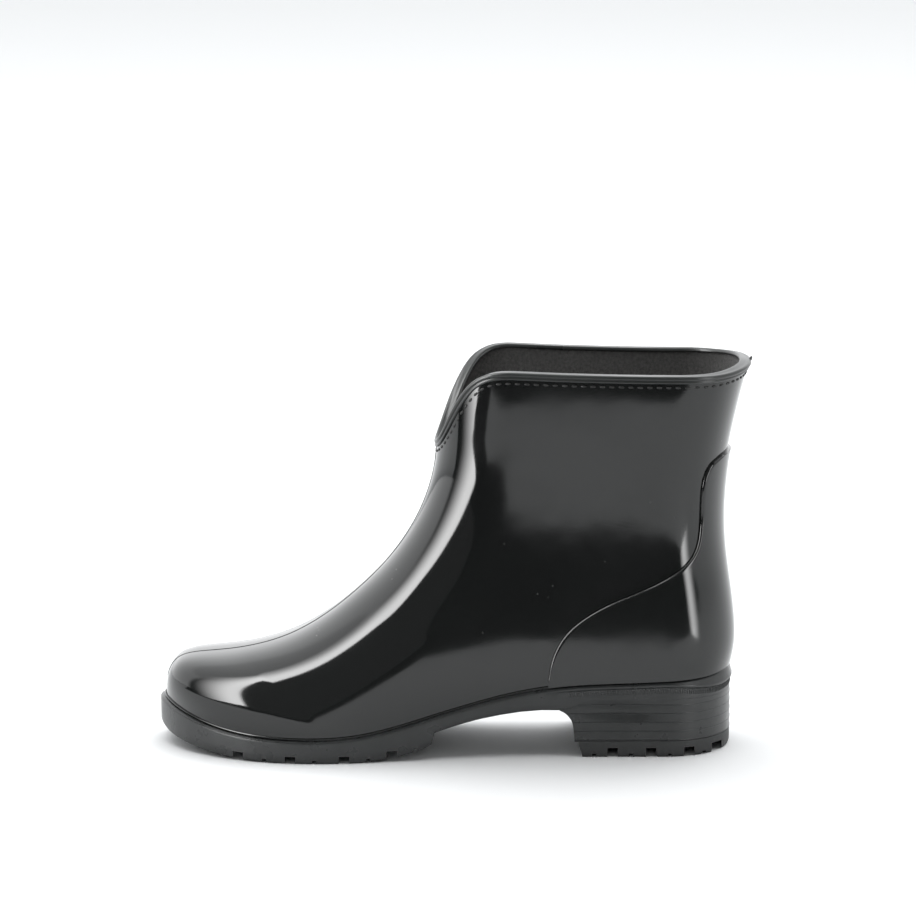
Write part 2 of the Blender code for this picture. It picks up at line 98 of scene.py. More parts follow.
RIDGE = [(-135.2, 27.5), (-134.4, 31.2), (-132.7, 35.0), (-129.6, 38.3), (-124.5, 40.5), (-117.0, 41.8),
         (-106.0, 43.1), (-95.0, 45.1), (-84.0, 48.2), (-74.0, 52.4), (-64.0, 58.2), (-54.0, 65.4),
         (-44.0, 74.0), (-34.0, 84.1), (-25.2, 95.5), (-18.4, 107.2), (-13.8, 118.5), (-10.9, 130.0),
         (-9.7, 141.0)]
FEATHER = [(-135.8, 20.9), (-130.0, 18.7), (-122.0, 16.1), (-112.0, 13.6), (-100.0, 11.7), (-85.0, 10.6),
           (-68.0, 10.4), (-52.0, 11.0), (-38.0, 13.0), (-25.0, 16.0), (-10.0, 20.2), (5.0, 24.3),
           (20.0, 28.2), (35.0, 31.2), (50.0, 33.1), (65.0, 34.0), (85.0, 34.7), (100.0, 35.4), (112.0, 36.1),
           (119.0, 36.8), (124.6, 37.9)]
BACK = [(124.6, 37.9), (126.2, 46.0), (126.3, 58.0), (124.6, 73.0), (122.5, 88.0), (121.3, 103.0),
        (121.6, 118.0), (123.0, 132.0), (125.2, 145.0), (128.2, 159.0), (131.0, 170.5), (133.2, 178.5)]
COLLAR = [(-9.7, 141.0), (-8.1, 144.3), (-5.4, 150.8), (-1.6, 160.0), (2.6, 168.0), (8.0, 174.6),
          (15.5, 178.2), (27.0, 178.8), (46.0, 178.0), (66.0, 177.4), (88.0, 177.0), (108.0, 176.9),
          (122.0, 177.2), (133.2, 178.5)]
COUNTER_EDGE = [(41.2, 36.0), (42.4, 43.5), (45.3, 51.4), (50.0, 58.2), (56.5, 63.9), (65.0, 69.2),
                (76.0, 74.3), (87.5, 79.2), (97.0, 84.3), (103.7, 89.3), (108.2, 95.4), (110.0, 103.0),
                (110.5, 112.0), (110.8, 122.0), (112.0, 129.6), (115.2, 135.2), (119.8, 137.8)]
TREAD = [(-138.5, 9.4), (-136.5, 7.9), (-134.0, 6.4), (-130.0, 5.0), (-126.0, 4.0), (-121.0, 3.1),
         (-116.0, 2.4), (-110.0, 1.6), (-102.0, 0.7), (-92.0, 0.2), (-82.0, 0.0), (-45.0, 0.0), (-37.5, 0.9),
         (-26.5, 2.4), (-15.6, 5.4), (-11.5, 7.8), (-11.0, 12.6), (-4.6, 14.6), (2.8, 16.7), (10.0, 18.5),
         (19.0, 20.2), (28.5, 21.6), (38.0, 22.3), (46.5, 22.2), (52.0, 23.2), (58.0, 26.0),
         (62.0, HEEL_SEAT), (130.0, HEEL_SEAT)]
BREAST = [(46.6, 21.9), (48.6, 20.9), (50.4, 19.3), (51.8, 17.4), (52.6, 15.0), (53.1, 12.0),
          (53.4, LIFT_TOP + GAP)]

# ---- half widths of the upper, on a coarse grid of heights (rows) and lengths (columns) ----
WIDTH_Z0, WIDTH_Y0, WIDTH_STEP = -25.0, -170.0, 30.0
WIDTH_TABLE = np.array([
    [43.5, 43.5, 44.6, 45.8, 44.5, 39.8, 34.6, 33.2, 32.8, 32.6, 32.4, 32.4],
    [43.5, 43.5, 44.6, 45.8, 44.5, 39.8, 34.8, 33.4, 33.1, 32.9, 32.7, 32.7],
    [43.5, 43.5, 44.4, 45.6, 44.4, 40.4, 35.9, 34.6, 34.4, 34.2, 33.9, 33.9],
    [43.0, 43.0, 44.0, 44.6, 42.6, 38.2, 34.7, 33.3, 33.1, 32.8, 32.5, 32.5],
    [42.0, 42.0, 42.0, 41.5, 39.0, 35.6, 33.0, 32.0, 32.0, 31.8, 31.6, 31.6],
    [40.5, 40.5, 40.5, 39.5, 37.5, 35.4, 34.2, 33.6, 33.6, 33.4, 33.2, 33.2],
    [40.5, 40.5, 40.5, 40.0, 39.0, 37.8, 37.2, 37.0, 37.0, 36.8, 36.6, 36.6],
    [41.2, 41.2, 41.2, 41.2, 41.2, 41.2, 41.2, 41.2, 41.2, 41.0, 40.7, 40.7],
    [42.6, 42.6, 42.6, 42.6, 42.6, 42.6, 42.6, 42.6, 42.6, 42.3, 41.9, 41.9]])
TOE_ROUND, BACK_ROUND, SHAFT_ROUND = 80.0, 30.0, 35.0

# ---- tread and heel: where grooves and stack lines lie ----
FOREFOOT_BARS, FOREFOOT_NOTCHES = [-100.7, -76.7, -52.0, -30.3], [-88.6, -65.7, -40.9, -19.6]
HEEL_BARS, HEEL_NOTCHES = [70.9, 88.6, 106.2, 119.2], [62.4, 79.4, 97.1, 113.2]
SPINE, GROOVE_END, NOTCH_START = 8.0, 60.0, 26.0
BAR_HALF_TOP, BAR_HALF_MOUTH = 2.3, 2.8
NOTCH_HALF_TOP, NOTCH_HALF_MOUTH, NOTCH_DEPTH = 0.8, 1.5, 1.6
STACK_HEIGHTS = [12.1, 16.3, 20.4, 24.4]


# ---- curves and the upper's surface ----

def spline(knots, values):
    """Natural cubic spline through the values, returned as a function."""
    t, v = np.asarray(knots, float), np.asarray(values, float)
    h = np.diff(t)
    n = len(t)
    system, right = np.eye(n), np.zeros(n)
    for i in range(1, n - 1):
        system[i, i - 1:i + 2] = h[i - 1], 2 * (h[i - 1] + h[i]), h[i]
        right[i] = 6 * ((v[i + 1] - v[i]) / h[i] - (v[i] - v[i - 1]) / h[i - 1])
    curve = np.linalg.solve(system, right)

    def evaluate(x):
        x = np.clip(x, t[0], t[-1])
        k = np.clip(np.searchsorted(t, x) - 1, 0, n - 2)
        a, b, w = t[k + 1] - x, x - t[k], h[k]
        bend = (curve[k] * a ** 3 + curve[k + 1] * b ** 3) / (6 * w)
        return bend + (v[k] / w - curve[k] * w / 6) * a + (v[k + 1] / w - curve[k + 1] * w / 6) * b
    return evaluate


def path(points):
    """Smooth side-view path over 0..1."""
    p = np.array(points, float)
    s = np.concatenate([[0], np.cumsum(np.hypot(*np.diff(p, axis=0).T))])
    fy, fz = spline(s / s[-1], p[:, 0]), spline(s / s[-1], p[:, 1])
    return lambda u: np.stack([fy(u), fz(u)], -1)


def smooth(x):
    x = np.clip(x, 0.0, 1.0)
    return x * x * (3 - 2 * x)


def rounding(distance, reach, power):
    """0 on the profile, 1 once a point is further in than the reach."""
    s = np.clip(1 - distance / reach, 0, 1)
    return (1 - s ** power) ** (1 / power)


def table_width(y, z):
    """Uniform cubic B-spline over the width table."""
    u, v = (z - WIDTH_Z0) / WIDTH_STEP, (y - WIDTH_Y0) / WIDTH_STEP
    i = np.clip(np.floor(u).astype(int), 1, WIDTH_TABLE.shape[0] - 3)
    j = np.clip(np.floor(v).astype(int), 1, WIDTH_TABLE.shape[1] - 3)

    def weights(f):
        return [(1 - f) ** 3 / 6, (3 * f ** 3 - 6 * f ** 2 + 4) / 6,
                (-3 * f ** 3 + 3 * f ** 2 + 3 * f + 1) / 6, f ** 3 / 6]
    total = 0
    for a, wa in enumerate(weights(u - i)):
        for b, wb in enumerate(weights(v - j)):
            total = total + wa * wb * WIDTH_TABLE[i + a - 1, j + b - 1]
    return total


feather_z = spline([y for y, z in FEATHER], [z for y, z in FEATHER])
back_y = spline([z for y, z in BACK], [y for y, z in BACK])
front_profile = RIDGE[3:] + [(-9.6, 150.0), (-9.6, 160.0), (-9.6, 190.0)]
ridge_y = spline([z for y, z in front_profile], [y for y, z in front_profile])


def tread_z(y):
    """Height of the sole's underside."""
    return np.interp(y, [p[0] for p in TREAD], [p[1] for p in TREAD])


def body_width(y, z):
    """Half width of the upper away from its front ridge."""
    return table_width(y, z) * rounding(back_y(z) - y, BACK_ROUND, 2.15)


def toe_width(y):
    """Share of the width left as the toe rounds off."""
    return rounding(y - FEATHER[0][0], TOE_ROUND, 2.1)


def swing(p):
    """Left-foot outline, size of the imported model, and its place in the row frame, in metres."""
    p = np.array(p, float)
    x, y, z = p[:, 0], p[:, 1], p[:, 2]
    s = np.clip((10 - y) / 146, 0, 1)
    low = 1 - smooth((z - 20) / 45)
    waist = 1 - 0.085 * np.exp(-((y - 6) / 30) ** 2) * low * smooth(-x / 12)
    x = x * waist + 25 * s ** 2 * (0.8 - s) * (1 - 0.5 * smooth((z - 45) / 60))
    return (np.stack([x * KX, y * KY, z * KZ], 1) + PLACE) * 0.001


def upper_sections(low_count, high_count, across):
    """Side-view grid [section, step] and half widths; the last section is the collar."""
    ridge, feather, back, collar = path(RIDGE), path(FEATHER), path(BACK), path(COLLAR)
    total = low_count + high_count
    heel = low_count / total
    u = np.arange(total + 1) / total
    low = np.clip(u / heel, 0, 1)
    low = 0.35 * low + 0.65 * (1 - np.cos(math.pi * low)) / 2
    high = np.clip((u - heel) / (1 - heel), 0, 1)
    u = 0.743 * np.clip(u / heel, 0, 1) + 0.257 * high
    on_ridge = spline([0, 0.12, 0.26, 0.42, 0.56, 0.66, 0.76, 0.86, 1.0],
                      [0, 0.09, 0.24, 0.42, 0.58, 0.70, 0.80, 0.89, 1.0])
    start = np.where((high <= 0)[:, None], feather(low), back(high))
    end = ridge(on_ridge(u))
    s = (1 - np.cos(math.pi * np.arange(across + 1) / across)) / 2
    line = start[:, None] * (1 - s)[None, :, None] + end[:, None] * s[None, :, None]
    rim = collar(1 - s)
    chord = rim[0] * (1 - s)[:, None] + rim[-1] * s[:, None]
    bend = np.clip((u - 0.52) / 0.48, 0, 1) ** 1.6
    side = line + bend[:, None, None] * (rim - chord)[None]
    y, z = side[..., 0], side[..., 1]
    length = np.hypot(*(end - start).T)[:, None]
    flat = (1 - s)[None] * length
    level = np.clip(y - ridge_y(z), 0, None)
    mix = smooth((u - 0.50) / 0.16)[:, None]
    reach_at = spline([0, 0.3, 0.5, 0.66, 0.8, 1.0], [70, 52, 44, 38, SHAFT_ROUND, SHAFT_ROUND])
    reach = np.minimum(length, reach_at(u)[:, None])
    power = (3.0 - 0.9 * smooth((u - 0.1) / 0.5))[:, None]
    front = rounding(flat * (1 - mix) + level * mix, reach, power)
    x = body_width(y, z) * front * toe_width(start[:, 0])[:, None]
    x[:, -1] = 0
    x[0] = 0
    x[low_count:, 0] = 0
    return x, y, z


# ---- mesh helpers ----

def mirrored_grid(x, y, z):
    """Vertices, quads and both sides' vertex numbers of a half grid and its mirror image."""
    rows, steps = x.shape
    right = np.arange(rows * steps).reshape(rows, steps)
    left = right + rows * steps
    centre = x < 1e-6
    left[centre] = right[centre]
    points = np.concatenate([np.stack([x.ravel(), y.ravel(), z.ravel()], 1),
                             np.stack([-x.ravel(), y.ravel(), z.ravel()], 1)])
    quads = []
    for index, order in ((right, (0, 1, 2, 3)), (left, (3, 2, 1, 0))):
        corners = [index[:-1, :-1], index[1:, :-1], index[1:, 1:], index[:-1, 1:]]
        quads.append(np.stack([corners[k].ravel() for k in order], 1))
    quads = np.concatenate(quads)
    used = np.unique(quads)
    lookup = np.zeros(len(points), int)
    lookup[used] = np.arange(len(used))
    faces = []
    for quad in lookup[quads].tolist():
        ring = [a for k, a in enumerate(quad) if a != quad[k - 1]]
        if len(set(ring)) > 2:
            faces.append(ring)
    return points[used], faces, lookup[right], lookup[left]


def normals(verts, faces):
    """Vertex normals gathered from the faces around each vertex."""
    corners = np.array([f if len(f) == 4 else f + f[-1:] for f in faces])
    p = verts[corners]
    around = np.cross(p[:, 2] - p[:, 0], p[:, 3] - p[:, 1])
    around /= np.maximum(np.linalg.norm(around, axis=1), 1e-12)[:, None]
    total = np.zeros_like(verts)
    for k in range(4):
        np.add.at(total, corners[:, k], around)
    return total / np.maximum(np.linalg.norm(total, axis=1), 1e-12)[:, None]


def offset(verts, out, distance):
    """Moves vertices along their normals; those on the centre line stay on it."""
    moved = verts + out * np.reshape(distance, (-1, 1))
    moved[np.abs(verts[:, 0]) < 1e-6, 0] = 0
    return moved


def thick(verts, faces, out, outer, inner):
    """Closed wall between two offsets of one sheet."""
    n = len(verts)
    both = np.concatenate([offset(verts, out, outer), offset(verts, out, inner)])
    solid = [list(f) for f in faces] + [[k + n for k in reversed(f)] for f in faces]
    used = {(f[k], f[(k + 1) % len(f)]) for f in faces for k in range(len(f))}
    solid += [[b, a, a + n, b + n] for a, b in used if (b, a) not in used]
    return both, solid


def outline(count):
    """Right half of the feather outline: x, y and its plan normal at each station."""
    u = np.arange(count + 1) / count
    u = 0.35 * u + 0.65 * (1 - np.cos(math.pi * u)) / 2
    y = FEATHER[0][0] + (FEATHER[-1][0] - FEATHER[0][0]) * u
    x = body_width(y, feather_z(y)) * toe_width(y)
    x[0] = x[-1] = 0
    slope = np.stack([np.gradient(x), np.gradient(y)], 1)
    slope[0], slope[-1] = (1, 0), (-1, 0)
    slope /= np.linalg.norm(slope, axis=1)[:, None]
    return x, y, slope[:, 1], -slope[:, 0]


def ring_body(x, y, nx, ny, grow, z):
    """Closed body whose side wall runs round the outline: grow and z are [wall step, station]."""
    steps, count = grow.shape
    px, py = x + nx * grow, y + ny * grow
    px[:, x < 1e-6] = 0
    px = np.maximum(px, 0)
    right = np.arange(steps * count).reshape(steps, count)
    left = right + steps * count
    left[px < 1e-6] = right[px < 1e-6]
    verts = np.concatenate([np.stack([px.ravel(), py.ravel(), z.ravel()], 1),
                            np.stack([-px.ravel(), py.ravel(), z.ravel()], 1)])
    faces = []
    for k in range(count - 1):
        for p in range(steps - 1):
            faces.append([right[p, k], right[p + 1, k], right[p + 1, k + 1], right[p, k + 1]])
            faces.append([left[p, k], left[p, k + 1], left[p + 1, k + 1], left[p + 1, k]])
        faces.append([left[0, k], right[0, k], right[0, k + 1], left[0, k + 1]])
        faces.append([right[-1, k], left[-1, k], left[-1, k + 1], right[-1, k + 1]])
    for k, flip in ((0, 1), (count - 1, -1)):
        if x[k] > 1e-6:
            faces.append((list(left[::-1, k]) + list(right[:, k]))[::-flip])
    clean = []
    for face in faces:
        ring = [int(a) for i, a in enumerate(face) if a != face[i - 1]]
        if len(set(ring)) == len(ring) and len(ring) > 2:
            clean.append(ring)
    return verts, clean


def make(name, verts, faces, material, sharp=35.0, placed=False):
    """Mesh object from millimetre vertices, with shared vertices, outward faces and smooth shading."""
    mesh = bpy.data.meshes.new(name)
    points = verts if placed else swing(verts)
    mesh.from_pydata(np.asarray(points).tolist(), [], faces)
    bm = bmesh.new()
    bm.from_mesh(mesh)
    bmesh.ops.delete(bm, geom=[v for v in bm.verts if not v.link_faces], context="VERTS")
    bmesh.ops.remove_doubles(bm, verts=bm.verts, dist=1e-6)
    bmesh.ops.recalc_face_normals(bm, faces=bm.faces)
    bm.to_mesh(mesh)
    bm.free()
    obj = bpy.data.objects.new(name, mesh)
    bpy.context.scene.collection.objects.link(obj)
    finish_shading(obj, material, sharp)
    return obj


def finish_shading(obj, material, sharp):
    """One material, and smooth shading up to a sharp angle in degrees."""
    obj.data.materials.clear()
    obj.data.materials.append(material)
    obj.data.shade_smooth()
    obj.data.set_sharp_from_angle(angle=math.radians(sharp))


def settle(obj, slot, *nodes):
    """The piece rides on the boot and stands for its CAD nodes, which it hides; the slot is not used."""
    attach(obj, ROOT)
    if nodes:
        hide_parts(*nodes)
    return obj


def carve(obj, boxes, name):
    """Takes closed cutters out of a piece in one exact Boolean."""
    verts, faces = [], []
    for box_verts, box_faces in boxes:
        n = len(verts)
        verts += list(box_verts)
        faces += [[n + k for k in f] for f in box_faces]
    cutter = make(name, np.array(verts), faces, obj.data.materials[0])
    cut = obj.modifiers.new(name, "BOOLEAN")
    cut.operation = "DIFFERENCE"
    cut.solver = "EXACT"
    cut.object = cutter
    apply_all(obj)
    bpy.data.objects.remove(cutter, do_unlink=True)


def apply_all(obj):
    """Replaces the mesh by its evaluated form and drops the modifiers."""
    bpy.context.view_layer.update()
    graph = bpy.context.evaluated_depsgraph_get()
    result = bpy.data.meshes.new_from_object(obj.evaluated_get(graph))
    obj.modifiers.clear()
    obj.data = result


def groove_box(y, half_top, half_mouth, inner, outer, low, high, side=1):
    """Tapered groove cutter across the sole, wider at its mouth."""
    verts = []
    for x in (inner, outer):
        for half, z in ((half_mouth, low), (half_top, high)):
            verts += [(side * x, y - half, z), (side * x, y + half, z)]
    box = [(0, 1, 3, 2), (4, 6, 7, 5), (0, 4, 5, 1), (2, 3, 7, 6), (0, 2, 6, 4), (1, 5, 7, 3)]
    return verts, [list(f) for f in box]


def tread_grooves(bars, notches, floor, depth):
    """Cutters of the wide grooves and the short notches, on both edges of the sole."""
    boxes = []
    for side in (1, -1):
        boxes += [groove_box(y, BAR_HALF_TOP, BAR_HALF_MOUTH, SPINE, GROOVE_END,
                             floor(y) - 6, floor(y) + depth, side) for y in bars]
        boxes += [groove_box(y, NOTCH_HALF_TOP, NOTCH_HALF_MOUTH, NOTCH_START, GROOVE_END,
                             floor(y) - 6, floor(y) + NOTCH_DEPTH, side) for y in notches]
    return boxes


# ---- node helpers ----

class Nodes:
    """Small builder for a material's node tree."""

    def __init__(self, name):
        self.material = bpy.data.materials.new(name)
        self.material.use_nodes = True
        self.tree = self.material.node_tree
        self.shader = self.tree.nodes["Principled BSDF"]
        self.coords = self.add("ShaderNodeTexCoord").outputs["Object"]

    def add(self, kind, **values):
        node = self.tree.nodes.new(kind)
        for key, value in values.items():
            if hasattr(node, key):
                setattr(node, key, value)
            else:
                node.inputs[key.replace("_", " ")].default_value = value
        return node

    def link(self, a, b):
        self.tree.links.new(a, b)

    def noise(self, scale, detail=2.0, rough=0.5):
        node = self.add("ShaderNodeTexNoise", Scale=scale, Detail=detail, Roughness=rough)
        self.link(self.coords, node.inputs["Vector"])
        return node.outputs["Fac"]

    def spread(self, source, low, high, start=0.3, stop=0.7):
        node = self.add("ShaderNodeMapRange")
        self.link(source, node.inputs["Value"])
        for key, value in (("From Min", start), ("From Max", stop), ("To Min", low), ("To Max", high)):
            node.inputs[key].default_value = value
        return node.outputs["Result"]

    def blend(self, factor, first, second):
        node = self.add("ShaderNodeMix", data_type="RGBA")
        self.link(factor, node.inputs["Factor"])
        node.inputs[6].default_value = (*first, 1)
        node.inputs[7].default_value = (*second, 1)
        return node.outputs[2]

    def bump(self, height, strength, distance, previous=None):
        node = self.add("ShaderNodeBump", Strength=strength, Distance=distance)
        self.link(height, node.inputs["Height"])
        if previous is not None:
            self.link(previous, node.inputs["Normal"])
        return node.outputs["Normal"]


def moulded_gloss(name, colour, dust, low=0.05, high=0.10):
    """Shiny black moulded plastic: soft flow waves, faint haze and a few dust specks."""
    n = Nodes(name)
    specks = n.add("ShaderNodeTexVoronoi", Scale=210.0)
    n.link(n.coords, specks.inputs["Vector"])
    rare = n.noise(60.0, 1.0)
    dot = n.spread(specks.outputs["Distance"], 1.0, 0.0, 0.045, 0.075)
    some = n.spread(rare, 0.0, 1.0, 0.62, 0.66)
    both = n.add("ShaderNodeMath", operation="MULTIPLY")
    n.link(dot, both.inputs[0])
    n.link(some, both.inputs[1])
    n.link(n.blend(both.outputs[0], colour, dust), n.shader.inputs["Base Color"])
    n.link(n.spread(n.noise(38.0, 4.0), low, high), n.shader.inputs["Roughness"])
    flow = n.bump(n.noise(26.0, 2.0), 0.25, 0.0006)
    grain = n.bump(n.noise(1500.0, 2.0), 0.05, 0.0001, flow)
    n.link(grain, n.shader.inputs["Normal"])
    n.shader.inputs["IOR"].default_value = 1.53
    return n.material


def sole_rubber(name, dark, light, low=0.24, high=0.38):
    """Dark grey sole compound: uneven sheen, fine moulding grain and small scuffs."""
    n = Nodes(name)
    n.link(n.blend(n.spread(n.noise(55.0, 5.0, 0.6), 0.0, 1.0), dark, light), n.shader.inputs["Base Color"])
    n.link(n.spread(n.noise(90.0, 4.0), low, high), n.shader.inputs["Roughness"])
    grain = n.bump(n.noise(1100.0, 3.0), 0.25, 0.00025)
    scuff = n.bump(n.noise(160.0, 5.0, 0.7), 0.05, 0.0003, grain)
    n.link(scuff, n.shader.inputs["Normal"])
    return n.material


def knitted(name, dark, light, pitch):
    """Brushed knit: crossed fine ribs under loose fuzz, with a soft sheen."""
    n = Nodes(name)
    along = n.add("ShaderNodeTexWave", Scale=pitch, Distortion=1.2, Detail=1.0, bands_direction="Z")
    crossed = n.add("ShaderNodeTexWave", Scale=pitch * 0.8, Distortion=1.5, Detail=1.0, bands_direction="Y")
    for wave in (along, crossed):
        n.link(n.coords, wave.inputs["Vector"])
    knit = n.add("ShaderNodeMath", operation="MULTIPLY")
    n.link(along.outputs["Fac"], knit.inputs[0])
    n.link(crossed.outputs["Fac"], knit.inputs[1])
    fuzz = n.noise(750.0, 4.0, 0.7)
    n.link(n.blend(n.spread(fuzz, 0.0, 1.0), dark, light), n.shader.inputs["Base Color"])
    first = n.bump(knit.outputs[0], 0.6, 0.0004)
    n.link(n.bump(fuzz, 0.5, 0.0003, first), n.shader.inputs["Normal"])
    n.shader.inputs["Roughness"].default_value = 0.95
    n.shader.inputs["Sheen Weight"].default_value = 0.15
    n.shader.inputs["Sheen Roughness"].default_value = 0.5
    return n.material


def plain_core(name, dark, light, scale, roughness, metallic=0.0):
    """Inner material with a mottled or brushed surface."""
    n = Nodes(name)
    tone = n.noise(scale, 5.0, 0.65)
    n.link(n.blend(n.spread(tone, 0.0, 1.0), dark, light), n.shader.inputs["Base Color"])
    n.link(n.bump(tone, 0.3, 0.0003), n.shader.inputs["Normal"])
    n.shader.inputs["Roughness"].default_value = roughness
    n.shader.inputs["Metallic"].default_value = metallic
    return n.material


def new_tree(name, sizes):
    """Geometry Nodes group with a mesh input and named length inputs."""
    tree = bpy.data.node_groups.new(name, "GeometryNodeTree")
    tree.interface.new_socket("Geometry", in_out="INPUT", socket_type="NodeSocketGeometry")
    for size in sizes:
        tree.interface.new_socket(size, in_out="INPUT", socket_type="NodeSocketFloat")
    tree.interface.new_socket("Material", in_out="INPUT", socket_type="NodeSocketMaterial")
    tree.interface.new_socket("Geometry", in_out="OUTPUT", socket_type="NodeSocketGeometry")
    return tree, tree.nodes.new("NodeGroupInput"), tree.nodes.new("NodeGroupOutput")


def close_tree(tree, source, inputs, output):
    """Ends a tree in Realize Instances and Set Material."""
    real = tree.nodes.new("GeometryNodeRealizeInstances")
    paint = tree.nodes.new("GeometryNodeSetMaterial")
    tree.links.new(source, real.inputs["Geometry"])
    tree.links.new(real.outputs["Geometry"], paint.inputs["Geometry"])
    tree.links.new(inputs.outputs["Material"], paint.inputs["Material"])
    tree.links.new(paint.outputs["Geometry"], output.inputs["Geometry"])


def rows_tree(name):
    """Small rounded studs on points: X along the row, Z out of the surface."""
    tree, inputs, output = new_tree(name, ["Length", "Width", "Height"])
    stud = tree.nodes.new("GeometryNodeMeshUVSphere")
    stud.inputs["Segments"].default_value = 8
    stud.inputs["Rings"].default_value = 5
    stud.inputs["Radius"].default_value = 0.5
    size = tree.nodes.new("ShaderNodeCombineXYZ")
    for k, key in enumerate(("Length", "Width", "Height")):
        tree.links.new(inputs.outputs[key], size.inputs[k])
    shape = tree.nodes.new("GeometryNodeTransform")
    tree.links.new(stud.outputs["Mesh"], shape.inputs["Geometry"])
    tree.links.new(size.outputs["Vector"], shape.inputs["Scale"])
    turned = None
    for axis, attribute in (("Z", "out"), ("X", "along")):
        named = tree.nodes.new("GeometryNodeInputNamedAttribute")
        named.data_type = "FLOAT_VECTOR"
        named.inputs["Name"].default_value = attribute
        align = tree.nodes.new("FunctionNodeAlignRotationToVector")
        align.axis = axis
        if turned is not None:
            align.pivot_axis = "Z"
            tree.links.new(turned, align.inputs["Rotation"])
        tree.links.new(named.outputs["Attribute"], align.inputs["Vector"])
        turned = align.outputs["Rotation"]
    points = tree.nodes.new("GeometryNodeMeshToPoints")
    tree.links.new(inputs.outputs["Geometry"], points.inputs["Mesh"])
    place = tree.nodes.new("GeometryNodeInstanceOnPoints")
    tree.links.new(points.outputs["Points"], place.inputs["Points"])
    tree.links.new(shape.outputs["Geometry"], place.inputs["Instance"])
    tree.links.new(turned, place.inputs["Rotation"])
    close_tree(tree, place.outputs["Instances"], inputs, output)
    return tree


def bead_tree(name):
    """Round bead along every edge chain of the mesh."""
    tree, inputs, output = new_tree(name, ["Radius"])
    chain = tree.nodes.new("GeometryNodeMeshToCurve")
    ring = tree.nodes.new("GeometryNodeCurvePrimitiveCircle")
    ring.inputs["Resolution"].default_value = 8
    sweep = tree.nodes.new("GeometryNodeCurveToMesh")
    sweep.inputs["Fill Caps"].default_value = True
    tree.links.new(inputs.outputs["Geometry"], chain.inputs["Mesh"])
    tree.links.new(inputs.outputs["Radius"], ring.inputs["Radius"])
    tree.links.new(chain.outputs["Curve"], sweep.inputs["Curve"])
    tree.links.new(ring.outputs["Curve"], sweep.inputs["Profile Curve"])
    close_tree(tree, sweep.outputs["Mesh"], inputs, output)
    return tree


def grown(name, tree, points, edges, material, sizes, vectors=None, sharp=60.0):
    """Runs a tree on placed points and keeps the result as a plain mesh."""
    mesh = bpy.data.meshes.new(name)
    mesh.from_pydata(np.asarray(points).tolist(), edges, [])
    for key, values in (vectors or {}).items():
        layer = mesh.attributes.new(key, "FLOAT_VECTOR", "POINT")
        layer.data.foreach_set("vector", np.asarray(values, float).ravel())
    obj = bpy.data.objects.new(name, mesh)
    bpy.context.scene.collection.objects.link(obj)
    modifier = obj.modifiers.new(name, "NODES")
    modifier.node_group = tree
    for item in tree.interface.items_tree:
        if item.in_out == "INPUT" and item.name in sizes:
            modifier[item.identifier] = sizes[item.name]
        if item.in_out == "INPUT" and item.name == "Material":
            modifier[item.identifier] = material
    apply_all(obj)
    finish_shading(obj, material, sharp)
    return obj


def even_points(points, step, closed=False):
    """Points an equal step apart along a polyline, with the direction at each."""
    p = np.array(points, float)
    if closed:
        p = np.concatenate([p, p[:1]])
    s = np.concatenate([[0], np.cumsum(np.linalg.norm(np.diff(p, axis=0), axis=1))])
    count = max(int(round(s[-1] / step)), 2)
    at = (np.arange(count) + 0.5) * s[-1] / count
    found = np.stack([np.interp(at, s, p[:, k]) for k in range(3)], 1)
    ahead = np.stack([np.interp(np.minimum(at + step / 2, s[-1]), s, p[:, k]) for k in range(3)], 1)
    behind = np.stack([np.interp(np.maximum(at - step / 2, 0), s, p[:, k]) for k in range(3)], 1)
    along = ahead - behind
    return found, along / np.linalg.norm(along, axis=1)[:, None]


def surface_of(obj):
    """Search tree over a piece's faces."""
    return BVHTree.FromObject(obj, bpy.context.evaluated_depsgraph_get())


def onto(tree, points, lift):
    """Nearest surface points, lifted along the surface normals."""
    placed, out = [], []
    for p in points:
        hit, normal, _, _ = tree.find_nearest(Vector(p))
        placed.append(hit + normal * lift)
        out.append(normal)
    return np.array(placed), np.array(out)


def clip_outline(x, y, nx, ny, start, extra=()):
    """Outline stations behind start, with stations at start and at the extra places."""
    ys = np.unique(np.concatenate([[start], np.array(extra, float), y[y > start + 0.4]]))
    return tuple(np.interp(ys, y, values) if values is not y else ys for values in (x, y, nx, ny))


# ---- settings ----

class BootSizes(bpy.types.PropertyGroup):
    """Sizes of the boot's trim and tread that a maker may change."""
    stitch_pitch: FloatProperty(name="Stitch Pitch",
                                description="Distance between mock stitches under the rim",
                                default=0.0043, min=0.003, max=0.01, unit="LENGTH")
    stitch_length: FloatProperty(name="Stitch Length", description="Length of one mock stitch",
                                 default=0.0028, min=0.001, max=0.006, unit="LENGTH")
    stitch_width: FloatProperty(name="Stitch Width", description="Width of one mock stitch",
                                default=0.0013, min=0.0005, max=0.003, unit="LENGTH")
    stitch_drop: FloatProperty(name="Stitch Drop", description="Distance from the rim's edge to the stitches",
                               default=0.0041, min=0.003, max=0.012, unit="LENGTH")
    rib_pitch: FloatProperty(name="Rib Pitch", description="Distance between the fine upright welt ribs",
                             default=0.0011, min=0.0008, max=0.004, unit="LENGTH")
    rib_height: FloatProperty(name="Rib Height", description="Height of the upright welt ribs",
                              default=0.0028, min=0.001, max=0.005, unit="LENGTH")
    seam_radius: FloatProperty(name="Seam Radius", description="Radius of the mould seam's fine bead",
                               default=0.00022, min=0.0001, max=0.001, unit="LENGTH")
    stack_radius: FloatProperty(name="Stack Line Radius", description="Radius of the heel's stack lines",
                                default=0.00028, min=0.0001, max=0.001, unit="LENGTH")
    detail: IntProperty(name="Detail", description="Steps across one section of the upper",
                        default=80, min=24, max=120)


